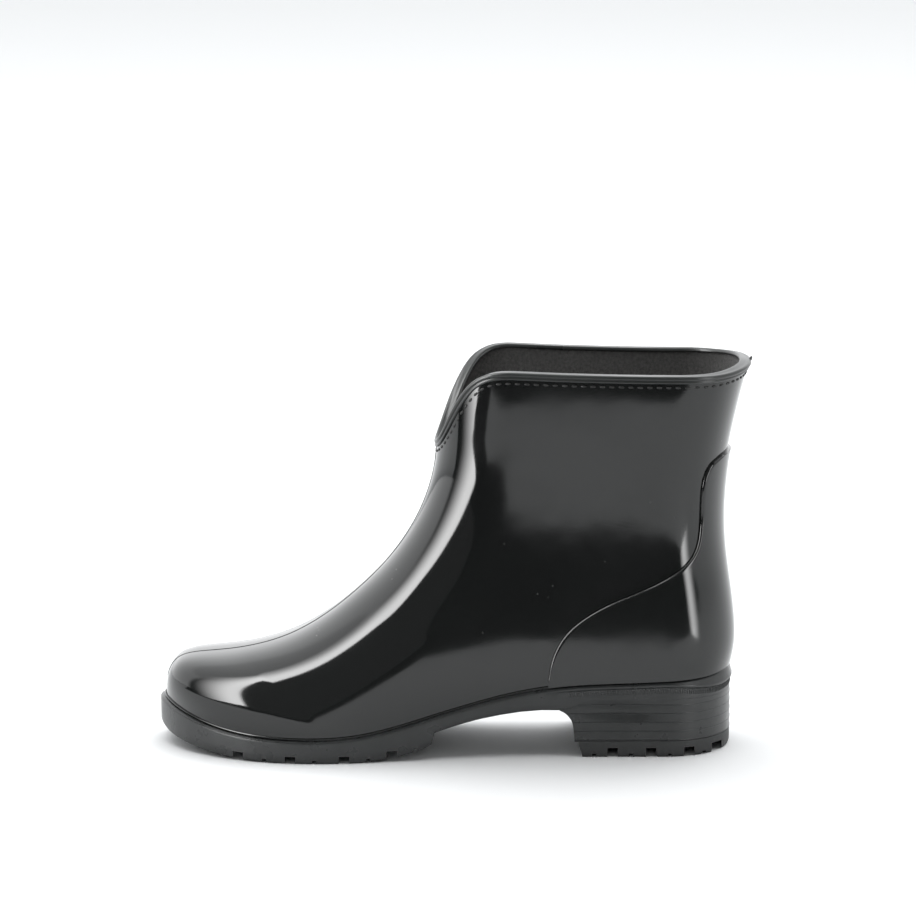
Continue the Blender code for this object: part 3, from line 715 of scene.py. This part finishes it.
class BootColours(bpy.types.PropertyGroup):
    """Base colours of the boot's materials."""
    shell: FloatVectorProperty(name="Shell", description="Glossy moulded shell", subtype="COLOR", size=3,
                               default=(0.0102, 0.0114, 0.0110), min=0, max=1)
    sole: FloatVectorProperty(name="Sole", description="Sole compound", subtype="COLOR", size=3,
                              default=(0.019, 0.0205, 0.0205), min=0, max=1)
    lining: FloatVectorProperty(name="Lining", description="Knitted lining", subtype="COLOR", size=3,
                                default=(0.0135, 0.013, 0.0122), min=0, max=1)


def sizes():
    """The scene's size settings."""
    return bpy.context.scene.boot_sizes


def colours():
    """The scene's colour settings."""
    return bpy.context.scene.boot_colours


def material_for(key):
    """One material per finish, made on first use."""
    found = bpy.data.materials.get("boot_" + key)
    if found:
        return found
    shell, sole, lining = (np.array(c) for c in (colours().shell, colours().sole, colours().lining))
    makers = {
        "shell_gloss": lambda n: moulded_gloss(n, shell, (0.2, 0.2, 0.19)),
        "rim_gloss": lambda n: moulded_gloss(n, shell * 2.2, (0.2, 0.2, 0.19), 0.26, 0.4),
        # Stitches: matte studs in a blacker colour than the shell; the darker colour is painted shade
        # standing in for the shade of moulded stitch dents.
        "stitch_matte": lambda n: plain_core(n, shell * 0.3, shell * 0.6, 900.0, 0.6),
        "sole_rubber": lambda n: sole_rubber(n, sole, sole * 1.5),
        "lift_rubber": lambda n: sole_rubber(n, sole * 0.8, sole * 1.2, 0.45, 0.62),
        "lining_knit": lambda n: knitted(n, lining, lining * 5.0, 900.0),
        "footbed_knit": lambda n: knitted(n, lining * 1.6, lining * 3.2, 700.0),
        "core_plastic": lambda n: plain_core(n, (0.52, 0.38, 0.22), (0.62, 0.47, 0.3), 70.0, 0.6),
        "spring_steel": lambda n: plain_core(n, (0.45, 0.45, 0.46), (0.6, 0.6, 0.6), 300.0, 0.32, 1.0),
        "filler_foam": lambda n: plain_core(n, (0.36, 0.27, 0.17), (0.46, 0.37, 0.26), 420.0, 0.95),
        "fibre_board": lambda n: plain_core(n, (0.28, 0.21, 0.14), (0.4, 0.31, 0.22), 240.0, 0.9),
    }
    return makers[key]("boot_" + key)


# ---- operators ----

def shell_grid():
    """Fine grid of the upper: vertices, faces, normals, each side's numbers and the heel's section."""
    across = sizes().detail
    low, high = int(across * 1.4), int(across * 0.75)
    x, y, z = upper_sections(low, high, across)
    verts, faces, right, left = mirrored_grid(x, y, z)
    return verts, faces, normals(verts, faces), right, left, low


class BOOT_OT_shell(bpy.types.Operator):
    """Moulded shell of the boot with its front and back mould seams"""
    bl_idname = "boot.shell"
    bl_label = "Build Shell"

    def execute(self, context):
        gloss = material_for("shell_gloss")
        verts, faces, out, right, left, low = shell_grid()
        body, solid = thick(verts, faces, out, 0.0, -WALL)
        settle(make("shell", body, solid, gloss, 50.0), "shell_pvc", "upper_shell")
        front = verts[right[2:-2, -1]]
        back = verts[right[low + 4:-2, 0]]
        back = back[back[:, 2] > 134.5]
        points = np.concatenate([swing(front), swing(back)])
        a, b = len(front), len(front) + len(back)
        edges = [(k, k + 1) for k in range(a - 1)] + [(k, k + 1) for k in range(a, b - 1)]
        seam = grown("mould_seams", bead_tree("boot_seam_bead"), points, edges, gloss,
                     {"Radius": sizes().seam_radius})
        settle(seam, "shell_pvc")
        return {"FINISHED"}


class BOOT_OT_counter(bpy.types.Operator):
    """Raised patch round the back of the heel, with a rolled edge"""
    bl_idname = "boot.counter"
    bl_label = "Build Heel Counter"

    def execute(self, context):
        edge = path(COUNTER_EDGE)
        along, up, across = 56, 76, 30
        base_y = 41.2 + (124.6 - 41.2) * np.sin(math.pi / 2 * np.arange(along + 1) / along)
        seam_z = 37.9 + (138.6 - 37.9) * np.arange(1, up + 1) / up
        seam = np.stack([back_y(seam_z), seam_z], 1)
        base = np.concatenate([np.stack([base_y, feather_z(base_y) + GAP], 1), seam])
        tip = edge(np.arange(along + up + 1) / (along + up))
        length = np.hypot(*(tip - base).T)[:, None]
        rolled = np.array([1.3, 0.95, 0.65, 0.4, 0.2, 0.06, 0.0])
        flat = 1 - np.cos(math.pi / 2 * np.arange(across + 1) / across)
        s = np.concatenate([flat[None] * (1 - 1.7 / length), 1 - rolled[None] / length], 1)[..., None]
        grid = base[:, None] * (1 - s) + tip[:, None] * s
        y, z = grid[..., 0], grid[..., 1]
        x = body_width(y, z)
        x[along:, 0] = 0
        verts, faces, right, left = mirrored_grid(x, y, z)
        rise = np.zeros(len(verts))
        heights = np.concatenate([np.ones(across + 1), [1.0, 0.98, 0.93, 0.82, 0.62, 0.35, 0.05]])
        for side in (right, left):
            rise[side] = np.broadcast_to(heights * (GAP + COUNTER_RISE), side.shape)
        body, solid = thick(verts, faces, normals(verts, faces), rise, 0.02)
        patch = make("heel_counter_patch", body, solid, material_for("shell_gloss"), 50.0)
        settle(patch, "counter_pvc", "heel_counter")
        return {"FINISHED"}


# The rim's section: millimetres out of the shell and up from its edge.
RIM_SECTION = [(0.05, -2.3), (0.45, -2.25), (0.7, -2.05), (0.8, -1.7), (0.78, -1.15), (0.62, -0.95),
               (0.6, -0.8), (0.85, -0.6), (1.1, -0.3), (1.2, 0.2), (1.05, 0.75), (0.65, 1.1), (0.1, 1.25),
               (-0.4, 1.15), (-0.75, 1.0), (-2.2, 0.95), (-3.6, 0.9), (-4.1, 0.65), (-4.35, 0.1),
               (-4.4, -0.6), (-4.2, -0.95), (-3.9, -1.05), (-3.2, -1.1), (-2.0, -1.3)]
# The nub left by the mould: height and radius of each ring, in millimetres.
NUB_RINGS = [(0.0, 0.75), (0.6, 0.8), (1.3, 0.72), (1.9, 0.5), (2.2, 0.2)]
NUB_SIDES = 12
STITCH_SINK, STITCH_HEIGHT = 0.00012, 0.0013


def nub_mesh(foot):
    """Small leaning stub left by the mould at the back of the rim."""
    turns = 2 * math.pi * np.arange(NUB_SIDES) / NUB_SIDES
    points = [foot + (radius * math.sin(turn), 0.6 + 0.35 * rise + radius * math.cos(turn), rise)
              for rise, radius in NUB_RINGS for turn in turns]
    faces = []
    for base in range(0, len(points) - NUB_SIDES, NUB_SIDES):
        for k in range(NUB_SIDES):
            after = (k + 1) % NUB_SIDES
            faces.append([base + k, base + after, base + NUB_SIDES + after, base + NUB_SIDES + k])
    faces += [list(range(NUB_SIDES))[::-1], [len(points) - NUB_SIDES + k for k in range(NUB_SIDES)]]
    return np.array(points), faces


class BOOT_OT_rim(bpy.types.Operator):
    """Rolled rim round the collar and its notch, with the row of mock stitches below it"""
    bl_idname = "boot.rim"
    bl_label = "Build Rim"

    def execute(self, context):
        verts, _, out, right, left, _ = shell_grid()
        loop = list(right[-1]) + list(left[-1][-2:0:-1])
        inside = {int(a): int(b) for side in (right, left) for a, b in zip(side[-1], side[-2])}
        ring, faces_out, rims, ups = [], [], [], []
        steps = len(RIM_SECTION)
        for n, k in enumerate(loop):
            along = verts[loop[(n + 1) % len(loop)]] - verts[loop[n - 1]]
            up = np.cross(out[k], along)
            up /= np.linalg.norm(up)
            if np.dot(up, verts[k] - verts[inside[int(k)]]) < 0:
                up = -up
            rims.append(verts[k])
            ups.append(up)
            for a, b in RIM_SECTION:
                p = verts[k] + out[k] * a + up * b
                if abs(verts[k][0]) < 1e-6:
                    p[0] = 0
                ring.append(p)
            after = (n + 1) % len(loop)
            for a in range(steps):
                b = (a + 1) % steps
                faces_out.append([n * steps + a, after * steps + a, after * steps + b, n * steps + b])
        nub, nub_faces = nub_mesh(verts[loop[0]])
        flash = make("rim_flash_nub", nub, nub_faces, material_for("rim_gloss"), 50.0)
        settle(flash, "binding_pvc")
        rim = make("rim_band", np.array(ring), faces_out, material_for("rim_gloss"), 50.0)
        settle(rim, "binding_pvc", "collar_binding")

        row = swing(np.array(rims) - np.array(ups) * sizes().stitch_drop * 1000)
        row = np.roll(row, 1 - len(right[-1]), axis=0)
        points, along = even_points(row, sizes().stitch_pitch, closed=True)
        placed, normal = onto(surface_of(bpy.data.objects["shell"]), points, -STITCH_SINK)
        # The stitch studs carry painted shade: their blacker finish stands in for the shade inside moulded
        # stitch dents.
        stitches = grown("rim_stitches", rows_tree("boot_stitch_row"), placed, [],
                         material_for("stitch_matte"),
                         {"Length": sizes().stitch_length, "Width": sizes().stitch_width,
                          "Height": STITCH_HEIGHT}, {"out": normal, "along": along})
        settle(stitches, "shell_pvc")
        return {"FINISHED"}


class BOOT_OT_lining(bpy.types.Operator):
    """Knitted lining and the soft footbed inside the shell"""
    bl_idname = "boot.lining"
    bl_label = "Build Lining and Footbed"

    def execute(self, context):
        verts, faces, out, right, left, low = shell_grid()
        lifted = verts.copy()
        for side in (right, left):
            lifted[side[:low + 1, 0], 2] += BOARD + 2 * GAP
        outer = -(WALL + GAP)
        body, solid = thick(lifted, faces, out, outer, outer - LINING_THICK)
        sock = make("lining", body, solid, material_for("lining_knit"), 60.0)
        settle(sock, "lining_textile", "lining_sock")

        x, y, nx, ny = outline(150)
        shrink = -(WALL + LINING_THICK + 2.4)
        low_z = feather_z(y) + BOARD + GAP
        across = np.linspace(-1, 1, 41)
        half = np.maximum(x + nx * shrink, 0)
        half[0] = half[-1] = 0
        ys = y + ny * shrink
        edge = np.clip((1 - np.abs(across))[None] * half[:, None], 0, None)
        ends = np.minimum(ys - ys[0], ys[-1] - ys)[:, None]
        near = np.minimum(edge, ends)
        round_off = rounding(np.clip(near, 0, 3.0), 3.0, 2.0)
        cup = smooth((ys - 40) / 70)[:, None] * (np.abs(across)[None] ** 3) * 1.4
        arch = np.exp(-((ys - 20) / 32) ** 2)[:, None] * np.clip(-across, 0, 1)[None] ** 2 * 0.9
        top = low_z[:, None] + (FOOTBED_THICK - 1.5) * round_off + (cup + arch) * round_off + 0.1
        count, wide = top.shape
        grid_x = half[:, None] * across[None]
        grid_y = np.broadcast_to(ys[:, None], grid_x.shape)
        upper = np.stack([grid_x.ravel(), grid_y.ravel(), top.ravel()], 1)
        lower = upper.copy()
        lower[:, 2] = np.repeat(low_z, wide)
        quads, n = [], count * wide
        for i in range(count - 1):
            for j in range(wide - 1):
                a, b = i * wide + j, (i + 1) * wide + j
                quads.append([a, a + 1, b + 1, b])
                quads.append([n + a, n + b, n + b + 1, n + a + 1])
            for j in (0, wide - 1):
                a, b = i * wide + j, (i + 1) * wide + j
                quads.append([a, b, n + b, n + a] if j == 0 else [b, a, n + a, n + b])
        pad = make("footbed_pad", np.concatenate([upper, lower]), quads, material_for("footbed_knit"), 60.0)
        settle(pad, "footbed_textile", "footbed")
        return {"FINISHED"}


# Bead on the welt and ribs round the heel, in millimetres; the last line is in metres.
BEAD_OUT, BEAD_LIFT, RIBS_FROM, RIBS_DROP = 0.25, 0.75, 47.0, 3.0
BEAD_RADIUS, RIB_LENGTH, RIB_RISE = 0.00042, 0.00055, 0.0007


def lip_drop(y):
    """How far the welt's outer lip lies below the feather line; it slopes down round the heel's back."""
    return 0.5 + 4.1 * smooth((y - 92) / 36)


class BOOT_OT_sole(bpy.types.Operator):
    """Outsole with its welt, tread lugs, bead and upright ribs"""
    bl_idname = "boot.sole"
    bl_label = "Build Outsole"

    def execute(self, context):
        rubber = material_for("sole_rubber")
        x, y, nx, ny = outline(260)
        stations = np.unique(np.concatenate([y, [-11.5, -11.0, 46.5, 58.0, 62.0]]))
        x, nx, ny = (np.interp(stations, y, v) for v in (x, nx, ny))
        y = stations
        top = feather_z(y) - GAP
        bottom = tread_z(y + ny * LEDGE)
        drop = lip_drop(y)
        heel = smooth((y - 34) / 22)
        wall = LEDGE - 1.0 * heel
        lip = top - drop
        under = np.minimum(1.4, (lip - bottom) * 0.35)
        ones = np.ones_like(y)
        foot = np.minimum(1.1, (lip - bottom) * 0.2)
        rows = [(-3.0 * ones, top), (0.2 * ones, top), (0.35 * ones, top + 0.3),
                (0.9 * ones, top + 0.25 - drop * 0.12), (1.6 * ones, top + 0.1 - drop * 0.45),
                ((LEDGE - 0.35) * ones, top - drop * 0.85), ((LEDGE - 0.08) * ones, lip),
                (LEDGE * ones, lip - 0.35), (LEDGE - 0.1 * heel, lip - under * 0.7),
                (wall + 0.35 * heel, lip - under), (wall, lip - under - 0.3),
                (wall, (lip - under) * 0.5 + bottom * 0.5), (wall - 0.05, bottom + foot),
                (wall - 0.3 * (1 - heel), bottom + foot * 0.35), (wall - 0.8 * (1 - heel) - 0.05, bottom)]
        grow = np.array([r[0] for r in rows])
        z = np.array([r[1] for r in rows])
        verts, faces = ring_body(x, y, nx, ny, grow, z)
        sole = make("outsole_unit", verts, faces, rubber, 32.0)
        carve(sole, tread_grooves(FOREFOOT_BARS, FOREFOOT_NOTCHES, tread_z, LUG_DEPTH - 0.5), "tread_cutters")
        finish_shading(sole, rubber, 32.0)
        settle(sole, "outsole_rubber", "outsole")

        right = np.stack([x + nx * BEAD_OUT, y + ny * BEAD_OUT, feather_z(y) + BEAD_LIFT], 1)
        right[[0, -1], 0] = 0
        left = right[::-1] * (-1, 1, 1)
        chain = swing(np.concatenate([right, left[1:-1]]))
        edges = [(k, (k + 1) % len(chain)) for k in range(len(chain))]
        bead = grown("welt_bead", bead_tree("boot_welt_bead"), chain, edges, material_for("shell_gloss"),
                     {"Radius": BEAD_RADIUS})
        settle(bead, "shell_pvc")

        keep = y > RIBS_FROM
        level = lip - RIBS_DROP
        right = np.stack([x + nx * (HEEL_LEDGE + 0.1), y + ny * (HEEL_LEDGE + 0.1), level], 1)[keep]
        right[-1, 0] = 0
        out = np.stack([nx, ny, 0 * nx], 1)[keep]
        row = np.concatenate([right, (right * (-1, 1, 1))[-2::-1]])
        facing = np.concatenate([out, (out * (-1, 1, 1))[-2::-1]])
        placed = swing(row)
        points, along = even_points(placed, sizes().rib_pitch)
        nearest = [int(np.argmin(((placed - p) ** 2).sum(1))) for p in points]
        ribs = grown("welt_ribs", rows_tree("boot_rib_row"), points, [], rubber,
                     {"Length": RIB_LENGTH, "Width": sizes().rib_height, "Height": RIB_RISE},
                     {"out": facing[nearest], "along": along})
        settle(ribs, "outsole_rubber")
        return {"FINISHED"}


LINE_SINK = 0.00012     # metres that a stack line sits in the heel's wall


class BOOT_OT_heel(bpy.types.Operator):
    """Heel block with its stack lines, and the lugged lift under it"""
    bl_idname = "boot.heel"
    bl_label = "Build Heel"

    def execute(self, context):
        rubber = material_for("sole_rubber")
        base = outline(260)
        breast = np.array(BREAST)
        curve = spline(breast[:, 1][::-1], breast[:, 0][::-1])
        fine_z = np.linspace(breast[0, 1], breast[-1, 1], 26)
        x, y, nx, ny = clip_outline(*base, 46.6, list(curve(fine_z)[1:]) + [58.0, 62.0])
        bottom = np.interp(y, curve(fine_z), fine_z)
        top = np.maximum(tread_z(y) - 0.02, bottom + 0.15)
        v = np.concatenate([[0], np.linspace(0, 1, 25), [1]])
        z = top[None] + (bottom - top)[None] * v[:, None]
        dent = 1.7 * np.exp(-((y[None] - 74) / 17) ** 2 - ((z - 21.5 + 0.03 * (y[None] - 74)) / 3.6) ** 2)
        soft = 0.5 * np.exp(-((y[None] - 70) / 22) ** 2 - ((z - 15.0) / 5.0) ** 2)
        grow = HEEL_LEDGE + 0.12 - dent - soft + 0 * z
        grow[0], grow[-1] = -4.0, -4.0
        z[0], z[-1] = top, bottom
        verts, faces = ring_body(x, y, nx, ny, grow, z)
        settle(make("heel_stack", verts, faces, rubber, 35.0), "heel_rubber", "heel_block")

        surface = surface_of(bpy.data.objects["heel_stack"])
        chains, edges = [], []
        for height in STACK_HEIGHTS + [LIFT_TOP + 0.4]:
            start = float(np.interp(-height, -fine_z, curve(fine_z)))
            cx, cy, cnx, cny = clip_outline(*base, max(start, 47.0) + 0.1)
            right = np.stack([cx + cnx * HEEL_LEDGE, cy + cny * HEEL_LEDGE, 0 * cx + height], 1)
            right[-1, 0] = 0
            row = swing(np.concatenate([right, (right * (-1, 1, 1))[-2::-1]]))
            row, _ = onto(surface, row, -LINE_SINK)
            n = sum(len(c) for c in chains)
            chains.append(row)
            edges += [(n + k, n + k + 1) for k in range(len(row) - 1)]
        lines = grown("stack_lines", bead_tree("boot_stack_bead"), np.concatenate(chains), edges, rubber,
                      {"Radius": sizes().stack_radius})
        settle(lines, "heel_rubber")

        x, y, nx, ny = clip_outline(*base, 53.4, [54.2, 55.0, 55.6, 56.3, 57.0, 58.0])
        bottom = np.interp(y, [53.4, 55.2, 55.6, 57.0, 120.0, 124.0, 126.0], [7.2, 6.9, 5.2, 0, 0, 0.2, 1.4])
        top = LIFT_TOP + 0 * y
        chamfer = np.minimum(1.0, (top - bottom) * 0.4)
        wall = HEEL_LEDGE + 0.1 + 0 * y
        rows = [(wall - 5, top), (wall, top), (wall, bottom + 2 * chamfer), (wall - 0.15, bottom + chamfer),
                (wall - 0.75, bottom), (wall - 5, bottom)]
        grow, z = np.array([r[0] for r in rows]), np.array([r[1] for r in rows])
        verts, faces = ring_body(x, y, nx, ny, grow, z)
        lift = make("heel_lift", verts, faces, material_for("lift_rubber"), 32.0)
        carve(lift, tread_grooves(HEEL_BARS, HEEL_NOTCHES, lambda v: 0.0, LUG_DEPTH + 0.5), "lift_cutters")
        finish_shading(lift, material_for("lift_rubber"), 32.0)
        settle(lift, "top_piece_rubber", "heel_top_piece")
        return {"FINISHED"}


class BOOT_OT_inner(bpy.types.Operator):
    """Finishes of the pieces sealed inside the sole"""
    bl_idname = "boot.inner"
    bl_label = "Finish Inner Pieces"

    def execute(self, context):
        finishes = {"heel_core": "core_plastic", "shank": "spring_steel", "sole_filler": "filler_foam",
                    "insole_board": "fibre_board"}
        for node, finish in finishes.items():
            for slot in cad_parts[node].material_slots:
                slot.material = material_for(finish)
        return {"FINISHED"}


def soften_edges(data, rise, fall):
    """Lets a strip light fade in over its back edge and out over its front edge."""
    data.use_nodes = True
    tree = data.node_tree
    place = tree.nodes.new("ShaderNodeNewGeometry")
    split = tree.nodes.new("ShaderNodeSeparateXYZ")
    tree.links.new(place.outputs["Parametric"], split.inputs[0])
    across = tree.nodes.new("ShaderNodeMath")
    across.operation = "MULTIPLY"
    for slot, (start, stop) in enumerate((rise, fall)):
        edge = tree.nodes.new("ShaderNodeMapRange")
        edge.interpolation_type = "SMOOTHSTEP"
        tree.links.new(split.outputs["X"], edge.inputs["Value"])
        edge.inputs["From Min"].default_value, edge.inputs["From Max"].default_value = start, stop
        tree.links.new(edge.outputs["Result"], across.inputs[slot])
    tree.links.new(across.outputs[0], tree.nodes["Emission"].inputs["Strength"])


def glow_panel(name, size, strength, centre, target=(0, 0, 0.09), roll=0.0):
    """Area light aimed at the boot."""
    data = bpy.data.lights.new(name, "AREA")
    data.shape = "RECTANGLE"
    data.size, data.size_y = size
    data.energy = strength
    obj = bpy.data.objects.new(name, data)
    obj.location = centre
    aim = Vector(target) - Vector(centre)
    obj.rotation_euler = (aim.to_track_quat("-Z", "Y") @ Quaternion((0, 0, 1), roll)).to_euler()
    obj.visible_diffuse = False
    bpy.context.scene.collection.objects.link(obj)
    return obj


def stage_plane(name, corners, material):
    """Flat plane of the stage through the given corners."""
    mesh = bpy.data.meshes.new(name)
    mesh.from_pydata(corners, [], [list(range(len(corners)))])
    obj = bpy.data.objects.new(name, mesh)
    mesh.materials.append(material)
    bpy.context.scene.collection.objects.link(obj)
    return obj


def stage_paint(name, colour, emission=0.0):
    """Matte paint of the stage."""
    mat = bpy.data.materials.new(name)
    mat.use_nodes = True
    shader = mat.node_tree.nodes["Principled BSDF"]
    shader.inputs["Base Color"].default_value = (*colour, 1)
    shader.inputs["Roughness"].default_value = 0.9
    shader.inputs["Specular IOR Level"].default_value = 0.2
    shader.inputs["Emission Color"].default_value = (*colour, 1)
    shader.inputs["Emission Strength"].default_value = emission
    return mat


ROOM_GLOW, PAPER_GLOW = 0.18, 1.35


def studio_world():
    """Bright paper sweep behind the boot, dark room in front of it, and a pale backdrop all round."""
    world = bpy.data.worlds.new("studio")
    world.use_nodes = True
    tree = world.node_tree
    background = tree.nodes["Background"]
    way = tree.nodes.new("ShaderNodeTexCoord")
    split = tree.nodes.new("ShaderNodeSeparateXYZ")
    tree.links.new(way.outputs["Generated"], split.inputs["Vector"])

    def ramp(source, start, stop, low, high):
        node = tree.nodes.new("ShaderNodeMapRange")
        node.interpolation_type = "SMOOTHSTEP"
        tree.links.new(source, node.inputs["Value"])
        for key, value in (("From Min", start), ("From Max", stop), ("To Min", low), ("To Max", high)):
            node.inputs[key].default_value = value
        return node.outputs["Result"]

    def maths(operation, first, second):
        node = tree.nodes.new("ShaderNodeMath")
        node.operation = operation
        tree.links.new(first, node.inputs[0])
        tree.links.new(second, node.inputs[1])
        return node
    side = ramp(split.outputs["Y"], 0.2, 0.8, 0.0, -0.42)
    shifted = maths("ADD", split.outputs["X"], side)
    behind = ramp(shifted.outputs[0], 0.06, -0.10, 0.0, 1.0)
    height = ramp(split.outputs["Z"], 0.66, 0.76, 1.7, 1.35)
    light = maths("MULTIPLY_ADD", behind, height)
    light.inputs[2].default_value = ROOM_GLOW
    dimmed = maths("MULTIPLY", light.outputs[0], ramp(split.outputs["Y"], 0.3, 0.8, 1.0, 0.5))
    seen = tree.nodes.new("ShaderNodeLightPath")
    paper = tree.nodes.new("ShaderNodeMix")
    tree.links.new(seen.outputs["Is Camera Ray"], paper.inputs["Factor"])
    tree.links.new(dimmed.outputs[0], paper.inputs["A"])
    paper.inputs["B"].default_value = PAPER_GLOW
    tree.links.new(paper.outputs["Result"], background.inputs["Strength"])
    background.inputs["Color"].default_value = (0.98, 0.99, 1.0, 1)
    return world


# ---- stage, in metres ----
FLOOR_EDGE = [(0.395, -0.225), (0.395, 0.3), (1.2, 3.0), (-4.6, 3.0), (-4.6, -4.0), (-0.3, -4.0),
              (-0.04, -1.2), (-0.02, -0.34), (0.1, -0.27)]
ROOM_EDGE = [(3.5, -4), (3.5, 4), (-5, 4), (-5, -4)]
PAPER_EDGE = [(9, -9), (9, 9), (-9, 9), (-9, -9)]
ROOM_LEVEL, PAPER_LEVEL = -0.004, -0.006
PAPER_WHITE, ROOM_DARK = (0.84, 0.85, 0.855), (0.02, 0.02, 0.021)
CAMERA_LENS, CAMERA_AWAY, CAMERA_UP, AIM_UP = 208.58, 2.40, 0.60, 0.133


def level_corners(edge, z):
    """Corners of a level plane."""
    return [(x, y, z) for x, y in edge]


class BOOT_OT_stage(bpy.types.Operator):
    """Plain pale floor, soft studio light and the camera"""
    bl_idname = "boot.stage"
    bl_label = "Build Stage"

    def execute(self, context):
        scene = bpy.context.scene
        scene.view_settings.view_transform = "Standard"
        scene.world = studio_world()
        stage_plane("floor", level_corners(FLOOR_EDGE, 0), stage_paint("floor_paper", PAPER_WHITE))
        room = stage_plane("room_floor", level_corners(ROOM_EDGE, ROOM_LEVEL),
                           stage_paint("room_carpet", ROOM_DARK))
        room.visible_camera = False
        paper = stage_plane("paper_floor", level_corners(PAPER_EDGE, PAPER_LEVEL),
                            stage_paint("floor_white", PAPER_WHITE, 1.3))
        paper.visible_glossy = paper.visible_diffuse = False
        left = glow_panel("left_strip", (0.36, 1.4), 22.0, (0.09, -0.36, 0.7), (0.09, 0, 0.7), 0.2)
        right = glow_panel("right_strip", (0.26, 0.7), 5.0, (0.36, 0.42, 0.35), (0.36, 0, 0.35))
        soften_edges(left.data, rise=(0.0, 0.7), fall=(1.0, 0.85))
        soften_edges(right.data, rise=(0.0, 0.5), fall=(1.0, 0.5))
        ceiling = glow_panel("ceiling_scrim", (2.6, 2.6), 44.0, (-0.5, 0, 1.9), (-0.5, 0, 0))
        ceiling.visible_diffuse, ceiling.visible_glossy = True, False
        fill = glow_panel("front_fill", (1.2, 0.6), 2.5, (1.7, 0, 0.8))
        fill.visible_diffuse, fill.visible_glossy = True, False
        camera = bpy.data.objects.new("camera", bpy.data.cameras.new("camera"))
        camera.data.lens = CAMERA_LENS
        camera.data.sensor_width = 36
        camera.data.clip_end = 30
        side, ahead = PLACE[:2] * 0.001
        camera.location = (CAMERA_AWAY + side, ahead, CAMERA_UP)
        aim = Vector((side, ahead, AIM_UP)) - camera.location
        camera.rotation_euler = aim.to_track_quat("-Z", "Y").to_euler()
        scene.collection.objects.link(camera)
        scene.camera = camera
        return {"FINISHED"}


class BOOT_PT_panel(bpy.types.Panel):
    """Lists the boot's settings and build steps"""
    bl_label = "Rain Boot"
    bl_idname = "BOOT_PT_panel"
    bl_space_type = "VIEW_3D"
    bl_region_type = "UI"
    bl_category = "Rain Boot"

    def draw(self, context):
        for group in (context.scene.boot_sizes, context.scene.boot_colours):
            box = self.layout.box()
            for key in group.bl_rna.properties.keys():
                if key not in ("rna_type", "name"):
                    box.prop(group, key)
        for operator in OPERATORS:
            self.layout.operator(operator.bl_idname)


OPERATORS = (BOOT_OT_shell, BOOT_OT_counter, BOOT_OT_rim, BOOT_OT_lining, BOOT_OT_sole, BOOT_OT_heel,
             BOOT_OT_inner, BOOT_OT_stage)
CLASSES = (BootSizes, BootColours) + OPERATORS + (BOOT_PT_panel,)


def register():
    for cls in CLASSES:
        bpy.utils.register_class(cls)
    bpy.types.Scene.boot_sizes = PointerProperty(type=BootSizes)
    bpy.types.Scene.boot_colours = PointerProperty(type=BootColours)


def unregister():
    del bpy.types.Scene.boot_sizes
    del bpy.types.Scene.boot_colours
    for cls in reversed(CLASSES):
        bpy.utils.unregister_class(cls)


def main():
    register()
    bpy.ops.boot.shell()
    bpy.ops.boot.counter()
    bpy.ops.boot.rim()
    bpy.ops.boot.lining()
    bpy.ops.boot.sole()
    bpy.ops.boot.heel()
    bpy.ops.boot.inner()
    bpy.ops.boot.stage()


if __name__ == "__main__":
    main()
